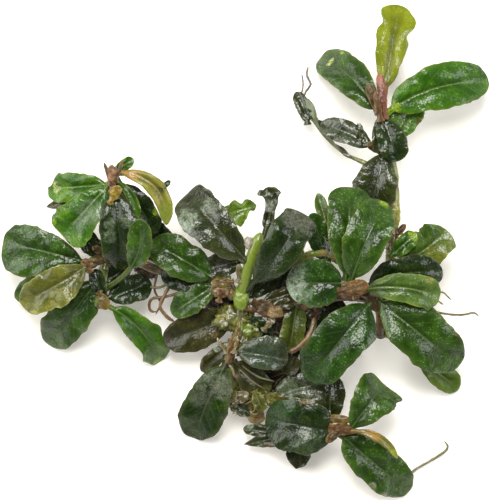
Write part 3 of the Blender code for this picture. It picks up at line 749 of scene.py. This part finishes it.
grow_group(
    grow_leaf, "bottom_leaf",
    # Its grey patch on the near half is painted sheen; the green one is its own colour.
    Leaf("dark", (17.2, -37.8, 10.1), (3.6, -33.8, 6), 11.2, arch=3.1, roll=-6, stalk=0.04, widest=0.5,
         taper=0.5, skew=0.03,
         patches=((-0.6, 0.75, 2.8, (0.016, 0.055, 0.005)), (0.5, 0.35, 2.6, (0.05, 0.07, 0.035)))),
    Leaf("slate", (14, -37.4, 5.5), (-0.8, -39.2, 2.9), 3.6, arch=0.4, stalk=0.2, widest=0.45, taper=0.9,
         cup=0.3, patches=((1, 0.6, 1, RUST),)),
    Leaf("dark", (11.2, -35.2, 3.6), (9.9, -44.2, 1.4), 5.2, arch=0, stalk=0.3, widest=0.5, taper=0.8,
         wave=0.5, patches=((0, 0.8, 2, (0.03, 0.028, 0.008)),)),
    Leaf("green", (21.6, -34.6, 10.4), (27.4, -26.8, 9.1), 9.4, arch=2.6, bend=(0.6, 1), roll=7, widest=0.86,
         taper=0.6, edge=((-1, 0.97, 0.45, 0.05), (1, 0.92, -0.12, 0.06))),
    # Painted shade: the blackish patch darkens the hollow near its foot.
    Leaf("green", (18.6, -38.2, 8.3), (32.6, -48.9, 0.25), 8.8, arch=2.6, widest=0.52, taper=0.42, skew=-0.02,
         wave=0.5, dome=0.1,
         patches=((-0.9, 0.6, 0.9, CHALKY), (-0.9, 0.76, 0.9, CHALKY), (0.1, 0.12, 1.6, PAINTED_SHADE_BLACK))),
    Leaf("gold", (19.6, -36.4, 12.2), (30.2, -41.8, 9.4), 1.7, bow=1.8, arch=1.8, wave=0,
         patches=((0, 0.15, 2, RUST), (0, 0.4, 1.6, ORANGE), (0, 0.95, 1.4, LIME))),
    Leaf("slate", (17, -33.8, 7), (16.6, -24.8, 7.8), 6.2, arch=0.3),
)

# Small leaves that show between the big ones, too small or too hidden to be solids of their own: young,
# curled, torn or half withered blades, on the same stems and stalks.
grow_group(
    grow_leaf, "left_small_leaf",
    Leaf("dark", (-28.8, -10, 9.2), (-30.6, -3.8, 10.2), 3.2, arch=0.8, cup=0.5),
    Leaf("dark", (-28.8, -1.6, 9.2), (-33.4, 3.4, 9.6), 4.2, arch=0.3),
    Leaf("dark", (-28.8, -6.6, 8.4), (-23.6, -3, 8.4), 4, arch=0.3),
)
grow_group(
    grow_leaf, "upper_left_small_leaf",
    Leaf("brown", (-28, 12, 14.4), (-40.2, 8.6, 10.6), 2.4, arch=0.3, taper=0.8),
    Leaf("dark", (-26.2, 13.4, 16), (-18.4, 3.2, 14.6), 5.6, bow=0.8, arch=0.6,
         patches=((0.9, 0.7, 0.8, LIME),)),
    Leaf("bright", (-26, 14, 16.8), (-21.6, 6.4, 16.8), 2, bow=0.8, arch=0.5),
    Leaf("dark", (-17.2, 12, 19.5), (-15.2, 13.8, 19.2), 1.1, arch=0.1),
)
grow_group(
    grow_leaf, "centre_small_leaf",
    Leaf("fresh", (-5.6, 6.6, 13.6), (1.9, 9, 14.2), 4.6, arch=0.5, wave=0.6, widest=0.45,
         edge=((1, 0.62, -0.45, 0.1), (-1, 0.42, 0.35, 0.12), (-1, 0.78, -0.55, 0.12), (1, 0.3, -0.2, 0.1)),
         patches=((-0.3, 0.5, 2.6, (0.15, 0.24, 0.02)), (-0.8, 0.6, 0.8, LIME))),
    Leaf("dark", (-6.4, -6.6, 11), (-17.2, -4.8, 9.4), 5.6, arch=0.8),
    Leaf("slate", (-0.8, -2, 12.8), (-8.4, -3.8, 12.6), 5.2, arch=0.5,
         patches=((0, 0.5, 1.4, (0.06, 0.055, 0.05)),)),
    Leaf("brown", (2.8, -10.6, 11.2), (10, -8.2, 11.6), 3.2, arch=0.5),
    Leaf("brown", (5, -11.2, 11.4), (9.6, -10.8, 11.6), 2, arch=0.4),
    Leaf("dark", (0.6, -13.4, 10), (4.8, -17.6, 8), 3.6, arch=0.3),
    Leaf("dark", (4.4, -9.6, 9.8), (10.8, -1.6, 9.4), 5.4, arch=0.3),
    Leaf("dark", (-0.8, -9.6, 9.8), (6.4, -4.4, 10.4), 4.4, arch=0.3),
    Leaf("dark", (-13.2, -4.4, 9.6), (-18.8, 5.6, 11.8), 4.6, arch=0.4),
)
grow_leaf("curled_tip", Leaf("slate", (5, 10.8, 16.6), (2, 11.2, 15.8), 1.3, bow=-0.3, arch=0.4, cup=0.5,
                             patches=((0, 0.5, 1.2, PALE),)))
grow_group(
    grow_leaf, "lower_small_leaf",
    Leaf("brown", (10.4, -18.4, 7), (8, -25.2, 7), 3.8, arch=0.4),
    Leaf("brown", (3.4, -29.2, 6.8), (7.6, -30.8, 6), 3, arch=0.3,
         patches=((0, 0.4, 2.2, (0.14, 0.13, 0.025)),)),
    Leaf("slate", (-3.2, -30.8, 6.2), (1.2, -33, 4.6), 2.4, arch=0.4, wave=0.4),
    Leaf("yellow", (1.4, -28.2, 7.2), (3.2, -32.4, 6), 2.8, arch=0.3),
)
grow_group(
    grow_leaf, "right_small_leaf",
    Leaf("bright", (28.6, -1.4, 12), (33.8, 3.4, 12), 3.6, arch=0.4, patches=((0, 0.9, 1, LIME),)),
    Leaf("fresh", (17.8, -2.2, 12.6), (14.2, 11.4, 13), 2.8, arch=0.4, stalk=0.3,
         patches=((0.2, 0.55, 1, (0.05, 0.05, 0.012)),)),
    Leaf("dark", (13, -10.4, 9.8), (14.6, -16.6, 8.4), 4.6, arch=0.2),
    Leaf("dark", (13.4, -8.4, 8.2), (19.6, -14.6, 7.6), 5.6, arch=0.3),
)
grow_group(
    grow_leaf, "upper_right_small_leaf",
    Leaf("slate", (22.8, 21.2, 8.6), (22.4, 25.4, 9), 1.7, arch=0.3),
    Leaf("slate", (26.6, 27.2, 11.6), (26, 19.4, 11.2), 2.6, arch=0.3),
    Leaf("slate", (12.2, 25.2, 4.6), (9.8, 31.8, 3.4), 3, bow=-0.4, arch=0.5, cup=0.1, wave=0),
    Leaf("dark", (14.8, 25.4, 5.2), (11.4, 28.6, 4.6), 1.1, arch=0.3, cup=0.5),
)
grow_leaf("bottom_small_leaf_1", Leaf("slate", (7, -36.8, 5), (-0.8, -36, 3.8), 2.6, arch=0.3,
                                      patches=((-0.8, 0.8, 0.8, PALE),)))

# The papery sheaths. Each leaf leaves one round the stem where it stood, first pink or amber, then brown and
# frayed, and wet scraps of them lie over the tangle. They wrap the stem, so their margins turn down.
Husk = partial(Leaf, arch=0.4, cup=-0.4)
HuskLook = partial(Look, slot="rhizome")
LOOKS.update(
    husk=HuskLook((0.05, 0.024, 0.004), (0.12, 0.068, 0.014), (0.3, 0.22, 0.1), (0.24, 0.15, 0.06),
                  (0.03, 0.013, 0.005), roughness=0.38, shine=0.25),
    rosy_husk=HuskLook((0.085, 0.036, 0.006), (0.15, 0.08, 0.018), (0.34, 0.24, 0.12), (0.28, 0.16, 0.07),
                       (0.06, 0.02, 0.009), roughness=0.38, shine=0.22),
    amber_husk=HuskLook((0.11, 0.07, 0.01), (0.22, 0.15, 0.03), (0.36, 0.28, 0.12), (0.28, 0.22, 0.08),
                        (0.07, 0.035, 0.006), roughness=0.3, shine=0.35, glow=0.2),
    pale_husk=HuskLook((0.12, 0.105, 0.045), (0.25, 0.23, 0.13), (0.5, 0.49, 0.38), (0.26, 0.2, 0.1),
                       (0.12, 0.09, 0.04), roughness=0.22, shine=0.5, glow=0.2),
    red_husk=HuskLook((0.22, 0.05, 0.024), (0.28, 0.09, 0.05), (0.34, 0.17, 0.11), (0.24, 0.1, 0.06),
                      (0.11, 0.03, 0.014), roughness=0.3, shine=0.3),
)

grow_group(
    grow_leaf, "upper_left_sheath",
    Husk("rosy_husk", (-26.8, 11.6, 18.9), (-26.9, 17, 19.6), 2, arch=0.5, cup=-0.6,
         patches=((0.2, 0.5, 2.4, (0.3, 0.16, 0.09)),)),
    Husk("amber_husk", (-27.2, 9.4, 18.6), (-25.4, 12.8, 20.2), 2.1,
         patches=((0, 0.5, 2, (0.34, 0.24, 0.03)),)),
    Husk("husk", (-26.2, 13.6, 19.4), (-24.6, 17.9, 19.2), 0.8, arch=0.3),
    Husk("husk", (-27, 13, 19.2), (-28.4, 17.4, 18.9), 0.8, arch=0.3),
)
grow_group(
    grow_leaf, "left_sheath",
    Husk("rosy_husk", (-31.4, -4.2, 13.6), (-32.4, -1.6, 14), 1.8, arch=0.5, cup=-0.5),
    Husk("husk", (-30.4, -2.4, 12.6), (-33.2, -2.6, 14), 1.6, arch=0.5, cup=-0.5),
    Husk("husk", (-28.2, -0.8, 10.4), (-31, 0.6, 11), 1.6, arch=0.3, cup=-0.5),
)
grow_leaf("middle_left_sheath", Husk("amber_husk", (-29.6, -8.4, 10.4), (-28, -12, 10.4), 2.4, arch=0.5,
                                     cup=-0.5))
grow_group(
    grow_leaf, "centre_sheath",
    Husk("amber_husk", (-2.8, -6.4, 13.2), (-7.2, -6.6, 13.2), 2.6, arch=0.5, cup=-0.5),
    Husk("pale_husk", (-1.6, -6.2, 13.8), (-1.6, -2.8, 15.6), 1.3, arch=0.3, cup=-0.3),
    Husk("rosy_husk", (-5.6, -10.2, 12.9), (-4.8, -7.6, 13.6), 1.5, arch=0.3),
    Husk("pale_husk", (3.4, -16, 10.4), (5.6, -13.4, 11), 1.4, arch=0.5),
    Husk("amber_husk", (-2.2, -18, 10.6), (-1.5, -14.4, 10.9), 0.9, arch=0.3),
    Husk("husk", (1.2, -10.2, 12.3), (7.2, -13.2, 11.7), 2.8, arch=0.6, wave=0.6,
         edge=((1, 0.6, 0.3, 0.1), (-1, 0.4, -0.3, 0.1)), patches=((0.2, 0.7, 1.6, TAN),)),
    Husk("husk", (6.6, -11.6, 11.2), (10.6, -9.6, 11.8), 1.4, arch=0.3),
)
grow_group(
    grow_leaf, "lower_sheath",
    Husk("rosy_husk", (-3.7, -22.6, 9.6), (-2.2, -16.8, 10.8), 2.1, arch=0.5, cup=-0.5),
    Husk("pale_husk", (-2.6, -20.6, 10.8), (-1.9, -17.2, 11.2), 0.7, arch=0.2),
    Husk("pale_husk", (-4.2, -20.6, 9.2), (-6, -17.6, 9.6), 0.8, arch=0.2),
)
grow_group(
    grow_leaf, "mat_scrap",
    Husk("pale_husk", (-2.6, -30.8, 7), (0.2, -28.6, 7.6), 2.2, cup=-0.3, wave=0.4),
    Husk("amber_husk", (0.6, -31.4, 5.2), (2.8, -35, 2.6), 3.4, cup=-0.2, patches=((0, 0.5, 2.4, TAN),)),
)
grow_leaf("bottom_chip", Leaf("pale_husk", (10.6, -30.6, 12.1), (12.8, -30.1, 12.1), 1.1, arch=0.1))
grow_group(
    grow_leaf, "right_sheath",
    Husk("rosy_husk", (18.2, -8.2, 18.4), (24.2, -7, 19.2), 3.2, arch=0.7, cup=-0.6),
    Husk("husk", (21.6, -9.4, 18.4), (19, -6.2, 19), 1.8, cup=-0.5),
    Husk("husk", (24, -8.8, 15), (26.6, -12.4, 12.6), 2.6, arch=0.6, cup=-0.6),
    Husk("rosy_husk", (26.6, -12, 12.6), (27.2, -16, 9.6), 2, cup=-0.6),
    Husk("amber_husk", (29.6, 3.4, 9.5), (29.6, 10, 9.8), 2.4, patches=((0, 0.6, 3.2, (0.24, 0.26, 0.04)),)),
    Husk("pale_husk", (28.4, 0.2, 11.8), (29.2, 4.4, 12), 1.4, arch=0.3),
    Husk("rosy_husk", (29.8, 2.6, 9.5), (31.8, 5.2, 9.2), 1.3, arch=0.2),
)
grow_leaf("red_stalk_sheath", Husk("red_husk", (27.6, 26.2, 11.2), (26.5, 35.4, 10.6), 1.9, arch=0.6,
                                   taper=0.3))
grow_group(
    grow_leaf, "upper_right_sheath",
    Husk("husk", (26.2, 27.4, 11.8), (24.2, 33.4, 12.2), 2, cup=-0.6),
    Husk("rosy_husk", (26.8, 25.8, 12.2), (25.6, 31.6, 12.6), 1.4, cup=-0.6),
    Husk("husk", (27.6, 19.2, 9.6), (24, 21.4, 11.2), 1.7, cup=-0.5),
)
grow_group(
    grow_leaf, "bottom_sheath",
    Husk("rosy_husk", (16.6, -35.4, 10.6), (21.2, -36.2, 10.8), 2.4, arch=0.5, cup=-0.6),
    Husk("amber_husk", (15.6, -33.4, 10.2), (20.8, -34.2, 11), 1.8, cup=-0.6),
    Husk("husk", (18.6, -36.2, 10.5), (15.8, -38.4, 11), 1.8, arch=0.3, cup=-0.5),
)

# Fleshy knobs and beads on the creeping stem: the bright bud at the foot of the green stem, the swollen
# joints, a mossy crust and the wet beads that cling to them. They grew there, so each one sits in the stem's
# skin.
KNOB_GRAIN = 2.4

Knob = namedtuple("Knob", "place size skin blotch slot lumps", defaults=("rhizome", 0.2))
MOSS_SKIN = (0.075, 0.078, 0.008)
MOSS_BLOTCH = (0.19, 0.175, 0.03)
BEAD_SKIN = (0.3, 0.29, 0.22)


def grow_knob(name, knob):
    mesh = bmesh.new()
    made = bmesh.ops.create_icosphere(mesh, subdivisions=4, radius=1)
    for vert in made["verts"]:
        lump = 1 + knob.lumps * noise.fractal(vert.co * KNOB_GRAIN + Vector(knob.place), 0.6, 2.0, 5)
        away = Vector([direction * reach for direction, reach in zip(vert.co, knob.size)])
        vert.co = (Vector(knob.place) + away * lump) * MM
    add_piece(name, mesh, stem_finish(name, knob.skin, knob.blotch))


grow_knob("green_bud", Knob((-1.15, -9.5, 11.7), (1.6, 2.6, 1.35), LIME_SKIN, GREEN_BLOTCH, "green_stem",
                            0.16))
grow_group(
    grow_knob, "joint_knob",
    Knob((4.6, -12, 10.8), (2.6, 1.5, 1.3), BROWN_SKIN, PINK_BLOTCH),
    Knob((-5.4, -7.6, 11.8), (2.2, 1.8, 1.5), OLIVE_SKIN, PINK_BLOTCH),
    Knob((13.4, -12.2, 9), (2.2, 2, 1.2), (0.03, 0.017, 0.006), BROWN_SKIN),
    Knob((20.6, -8.4, 16.6), (2.4, 1.6, 1.5), BROWN_SKIN, PINK_BLOTCH),
    Knob((-29.2, -10.4, 9.4), (1.4, 1.5, 1.3), OLIVE_SKIN, GREEN_BLOTCH),
    Knob((17.6, -35.8, 9.2), (2.2, 1.6, 1.5), BROWN_SKIN, PINK_BLOTCH),
)
grow_group(
    grow_knob, "moss_crust",
    Knob((-3, -13.6, 9.8), (3.2, 2.6, 0.9), MOSS_SKIN, MOSS_BLOTCH, lumps=0.5),
    Knob((0.4, -15.8, 9), (2.4, 3, 1), MOSS_SKIN, GREEN_BLOTCH, lumps=0.5),
    Knob((-0.6, -19, 9), (1.8, 2.6, 1), OLIVE_SKIN, MOSS_BLOTCH, lumps=0.5),
)
grow_group(
    grow_knob, "bead",
    Knob((0.4, 1.4, 17), (1, 1.2, 0.9), BEAD_SKIN, PINK_BLOTCH),
    Knob((2, -16, 9.9), (0.4, 0.4, 0.4), BEAD_SKIN, GREEN_BLOTCH),
    Knob((-3.4, -12.2, 10.8), (0.45, 0.45, 0.45), BEAD_SKIN, MOSS_BLOTCH),
    Knob((-4.2, -14.8, 10.7), (0.4, 0.5, 0.4), BEAD_SKIN, MOSS_BLOTCH),
)

# The roots and the dead strands. The roots are wiry and leave the underside of the creeping stem, some curl
# back on themselves, and a few have trailed out over the table. The strands are the remains of old leaves.
ROOT_STEPS = 7
ROOT_SIDES = 9
ROOT_LUMPS = 0.3

Root = namedtuple("Root", "radius skin blotch points")
TAN_SKIN = (0.15, 0.09, 0.032)
OLIVE_ROOT = (0.11, 0.11, 0.025)
PALE_SKIN = (0.17, 0.16, 0.09)
WITHERED_SKIN = (0.03, 0.03, 0.012)


def grow_root(name, root):
    def radius_at(share, turn):
        closing = math.sqrt(min((1 - share) * 6 + 0.05, 1)) * math.sqrt(min(share * 12 + 0.3, 1))
        knobbly = noise.noise(Vector((share * 22, root.points[0][0], 1.2 * turn)))
        return root.radius * MM * closing * (1 + ROOT_LUMPS * knobbly)

    mesh = bmesh.new()
    add_tube(mesh, smooth_line(root.points, ROOT_STEPS), radius_at, ROOT_SIDES)
    add_piece(name, mesh, stem_finish(name, root.skin, root.blotch))


grow_root("table_root_1", Root(0.24, OLIVE_ROOT, MOSS_BLOTCH,
                               ((20.4, -37, 8.8), (23.4, -41.2, 4.6), (28, -44.6, 1.8), (32, -45.4, 0.9),
                                (34.6, -43.9, 0.6), (36.6, -42.8, 0.45), (38.6, -41.6, 0.4),
                                (40.1, -40.5, 0.4), (40.5, -39.5, 0.4), (39.8, -38.5, 0.5))))
grow_group(
    grow_root, "side_root",
    Root(0.22, OLIVE_ROOT, TAN_SKIN,
         ((27.2, -12.6, 9.6), (31.6, -11.4, 10), (36.8, -12.2, 10.6), (40, -12.8, 10.6), (43, -13, 10.2),
          (45.4, -12.6, 9.8), (46.5, -13.3, 9.6))),
    Root(0.17, TAN_SKIN, BROWN_BLOTCH, ((37, -9.2, 15.7), (38.9, -8.4, 15.2), (40.8, -10, 14.4))),
    Root(0.16, TAN_SKIN, BROWN_BLOTCH, ((37.2, -9.6, 15.6), (39.2, -10.9, 15))),
)
grow_group(
    grow_root, "left_root",
    Root(0.26, OLIVE_ROOT, TAN_SKIN,
         ((-13.6, -5, 8.8), (-15.8, -6.6, 8.2), (-17.4, -7.5, 7.7), (-19.4, -7.4, 7.4), (-21, -6.4, 7.2))),
    Root(0.3, TAN_SKIN, BROWN_BLOTCH,
         ((-12, -5.4, 9.2), (-13.2, -8.2, 7.8), (-16.4, -9.4, 7.2), (-19, -9.8, 6.8), (-19.7, -11.2, 6.4),
          (-19.2, -12.3, 6.2), (-18.2, -12.4, 6.2))),
    Root(0.36, TAN_SKIN, PINK_BLOTCH,
         ((-15.4, -6.8, 8), (-16.8, -9.6, 7.6), (-17.5, -11.4, 7), (-16.8, -12.6, 6.6), (-15.6, -13.8, 6),
          (-14.6, -14.4, 5.4))),
    Root(0.22, TAN_SKIN, BROWN_BLOTCH,
         ((-18, -4.6, 7.6), (-18.6, -8, 6.4), (-17.4, -10.6, 5.6), (-18.4, -13, 4.6))),
)
grow_group(
    grow_root, "centre_root",
    Root(0.34, YELLOW_SKIN, BROWN_BLOTCH,
         ((12, -1.4, 12.9), (9.6, -3.2, 13), (7.9, -2, 13.8), (8.2, -0.4, 14.2), (9.4, 0.2, 14.2),
          (10.2, -0.8, 13.9), (9.4, -1.8, 13.6), (8.6, -1.2, 14.4))),
    Root(0.28, YELLOW_SKIN, TAN_SKIN,
         ((13.4, -4, 11), (11.6, -1.6, 13), (10.8, 0.2, 13.6), (9, 0.6, 13.4), (7.8, -0.6, 12.8))),
    Root(0.75, YELLOW_SKIN, GREEN_BLOTCH,
         ((8.8, -3, 12), (10.8, -1.6, 12.9), (13.2, -0.7, 13.2), (16.4, -0.8, 12.6), (18.6, -3, 12.8))),
    Root(0.62, BROWN_SKIN, TAN_SKIN,
         ((8.4, -20.5, 9), (10.2, -19.6, 9.7), (12, -17.8, 10), (13.2, -15.4, 9.8), (13.6, -12.8, 9.6))),
)
grow_group(
    grow_root, "pale_strand",
    Root(0.28, PALE_SKIN, PINK_BLOTCH, ((-4, -22.4, 9.6), (-2.9, -24, 9.6), (-2.4, -25.8, 8.2))),
    Root(0.2, PALE_SKIN, GREEN_BLOTCH, ((-1.4, -22.8, 9), (2.2, -25.4, 8), (5.6, -26.4, 6.4))),
    Root(0.14, PALE_SKIN, MOSS_BLOTCH, ((-1.4, -24, 8.8), (0.8, -26.2, 7.8), (3.6, -28, 5.8))),
)
grow_root("torn_leaf_stalk", Root(0.45, LIME_SKIN, GREEN_BLOTCH,
                                  ((-0.2, -2.8, 14.8), (-2.6, -0.4, 13.6), (-4.8, 3.4, 13.2),
                                   (-5.2, 6.8, 13.6))))
grow_group(
    grow_root, "withered_wisp",
    Root(0.22, WITHERED_SKIN, TAN_SKIN,
         ((12.3, 36.9, 2.2), (12.1, 35.2, 2.5), (12.8, 33.4, 2.9), (11.8, 31.8, 3.4), (11.2, 30, 3.9))),
    Root(0.16, WITHERED_SKIN, TAN_SKIN, ((11.1, 35.4, 2), (11.3, 33.2, 2.4), (10.9, 31, 3), (11, 29, 3.6))),
)
grow_group(
    grow_root, "anchor_root",
    Root(0.28, TAN_SKIN, BROWN_BLOTCH,
         ((7, -12.4, 8.8), (6.2, -13.8, 5.6), (7.4, -15.6, 2.4), (6.4, -17.4, 0.6))),
    Root(0.24, TAN_SKIN, BROWN_BLOTCH,
         ((18, -9.4, 9.4), (17.2, -11.6, 6), (18.4, -13.8, 2.6), (17.4, -16, 0.5))),
    Root(0.24, OLIVE_ROOT, BROWN_BLOTCH,
         ((26.8, -15.4, 6.6), (24.6, -16.2, 3.6), (22.8, -17.6, 1.2), (21, -18.2, 0.5))),
    Root(0.24, TAN_SKIN, BROWN_BLOTCH,
         ((-28.6, -2.2, 8), (-29.6, -4, 4.6), (-28.4, -6, 2), (-29.4, -8, 0.5))),
)

# The root mats and tangles: lumps of old, felted root with scores of wiry rootlets wound over them and
# hanging from them. Two are solids of their own. The looser ones fill the dark gaps under the leaves, and
# hang from the stem, so they narrow toward the table. Their near-black cores are partly dark old root and
# partly painted shade of those deep gaps.
Mat = namedtuple("Mat", "name middle half height core strands rootlets reach")
MAT_STEPS = 9
MAT_CLEARANCE = 0.26
MAT_FOOT = 0.45
FELT_LEVEL, HIGHEST_START = 0.94, 1.10
FELT_DIRT_AND_SHADE, FELT_RELIEF = 1500.0, 0.10 * MM
LEAST_LUMP, BIG_LUMPS, SMALL_LUMPS = 0.84, 0.34, 0.16
ROOTLET_RADIUS = 0.15
ROOTLET_SIDES = 5
ROOTLET_WANDER = 0.5

MATS = (
    Mat("root_mat", (0, -28.6), (4.6, 5), 6.4, (0.1, 0.095, 0.022),
        ((0.34, 0.27, 0.09), (0.26, 0.25, 0.055), (0.12, 0.085, 0.025), (0.46, 0.42, 0.23)), 190, 1.3),
    # The tangles' near-black cores are partly painted shade.
    Mat("centre_tangle", (9, -16), (6.6, 5), 9.2, (0.014, 0.01, 0.004),
        ((0.05, 0.03, 0.01), (0.04, 0.038, 0.008), (0.09, 0.05, 0.02), (0.022, 0.014, 0.006)), 90, 1.1),
    Mat("stem_tangle", (-4.4, -10), (4.6, 5.4), 10.4, (0.014, 0.012, 0.004),
        ((0.05, 0.04, 0.01), (0.09, 0.07, 0.018), (0.04, 0.022, 0.01), (0.02, 0.018, 0.006)), 90, 1.1),
    Mat("lower_tangle", (6, -24.8), (6.4, 4.2), 4.6, (0.016, 0.014, 0.006),
        ((0.06, 0.05, 0.014), (0.04, 0.042, 0.01), (0.11, 0.08, 0.026), (0.024, 0.018, 0.008)), 80, 1.1),
    Mat("left_root_mat", (-20, -3.2), (3.2, 2.4), 7.8, (0.028, 0.014, 0.006),
        ((0.11, 0.05, 0.02), (0.06, 0.026, 0.01), (0.18, 0.1, 0.04), (0.06, 0.06, 0.014)), 120, 1.2),
)


def mat_finish(mat):
    """Felted root, each strand in its own tint, with fine dirt in the core's colour, which on the tangles is
    partly painted shade.
    """
    finish, shader = new_finish(mat.name + "_fibre", roughness=0.42)
    tree = finish.node_tree
    dirt_and_shade = pattern(tree, "TexNoise", FELT_DIRT_AND_SHADE, 4.0, 0.6)
    colour = paint(attribute(tree, "strand", "Color"), step_between(dirt_and_shade, 0.5, 0.72), 0.6, mat.core)
    cover(shader, colour, dirt_and_shade, 0.6, FELT_RELIEF)
    return finish


def random_step(chance, spread):
    """A step in a random direction, with three draws in their order."""
    return Vector([chance.gauss(0, spread) for axis in range(3)])


def grow_mat(mat):
    chance = random.Random(mat.name)
    mesh = bmesh.new()
    strand = mesh.verts.layers.float_color.new("strand")
    middle = Vector((*mat.middle, mat.height / 2))
    half = Vector((*mat.half, mat.height / 2))

    def on_mat(direction, out):
        """The place over the lump's skin in a direction, in millimetres."""
        lump = LEAST_LUMP + BIG_LUMPS * noise.noise(direction * 1.7 + middle)
        lump += SMALL_LUMPS * noise.noise(direction * 5)
        if mat.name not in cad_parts:
            lump *= MAT_FOOT + (1 - MAT_FOOT) * ease((direction.z + 1) / 1.4)
        place = middle + Vector([part * reach * lump * out for part, reach in zip(direction, half)])
        place.z = max(place.z, MAT_CLEARANCE)
        return place

    for vert in bmesh.ops.create_icosphere(mesh, subdivisions=4, radius=1)["verts"]:
        vert.co = on_mat(vert.co.normalized(), FELT_LEVEL) * MM
        vert[strand] = (*mat.core, 1)
    for rootlet in range(mat.rootlets):
        direction = random_step(chance, 1).normalized()
        heading = random_step(chance, 1)
        out = chance.uniform(FELT_LEVEL, HIGHEST_START)
        line = []
        for step in range(MAT_STEPS):
            line.append(on_mat(direction, out) * MM)
            heading += random_step(chance, ROOTLET_WANDER)
            direction = (direction + heading.normalized() * mat.reach / MAT_STEPS).normalized()
            out += chance.uniform(-0.02, 0.05)
        shade = mat.strands[rootlet % len(mat.strands)]
        radius = ROOTLET_RADIUS * MM * chance.uniform(0.6, 1.4)
        tube = add_tube(mesh, line, lambda share, turn: radius * (1.15 - share * 0.7), ROOTLET_SIDES)
        for vert, *_ in tube:
            vert[strand] = (*shade, 1)
    add_piece(mat.name, mesh, mat_finish(mat))


for mat in MATS:
    grow_mat(mat)

# Silver fuzz: a tuft of dead root hairs, fine as lint, caught between the centre and right shoots, where it
# clings to the leaves' feet.
FUZZ_PLACE = Vector((16.8, 0.4, 15.0))
FUZZ_SPREAD = 0.6
FUZZ_HAIRS = 70
FUZZ_LENGTH = 1.7
FUZZ_BEND = 0.4
FUZZ_RADIUS = 0.045
FUZZ_GREY = (0.30, 0.31, 0.28, 1)

fuzz_chance = random.Random("fuzz")
fuzz_mesh = bmesh.new()
for hair in range(FUZZ_HAIRS):
    start = FUZZ_PLACE + random_step(fuzz_chance, FUZZ_SPREAD)
    away = random_step(fuzz_chance, 1).normalized() * FUZZ_LENGTH
    bend = random_step(fuzz_chance, FUZZ_BEND)
    line = smooth_line((start, start + away / 2 + bend, start + away), steps=3)
    add_tube(fuzz_mesh, line, lambda share, turn: FUZZ_RADIUS * MM * (1.1 - share * 0.6), sides=4)
fuzz_finish, fuzz_shader = new_finish("silver_fuzz", roughness=0.5)
set_inputs(fuzz_shader, Base_Color=FUZZ_GREY)
add_piece("silver_fuzz", fuzz_mesh, fuzz_finish)
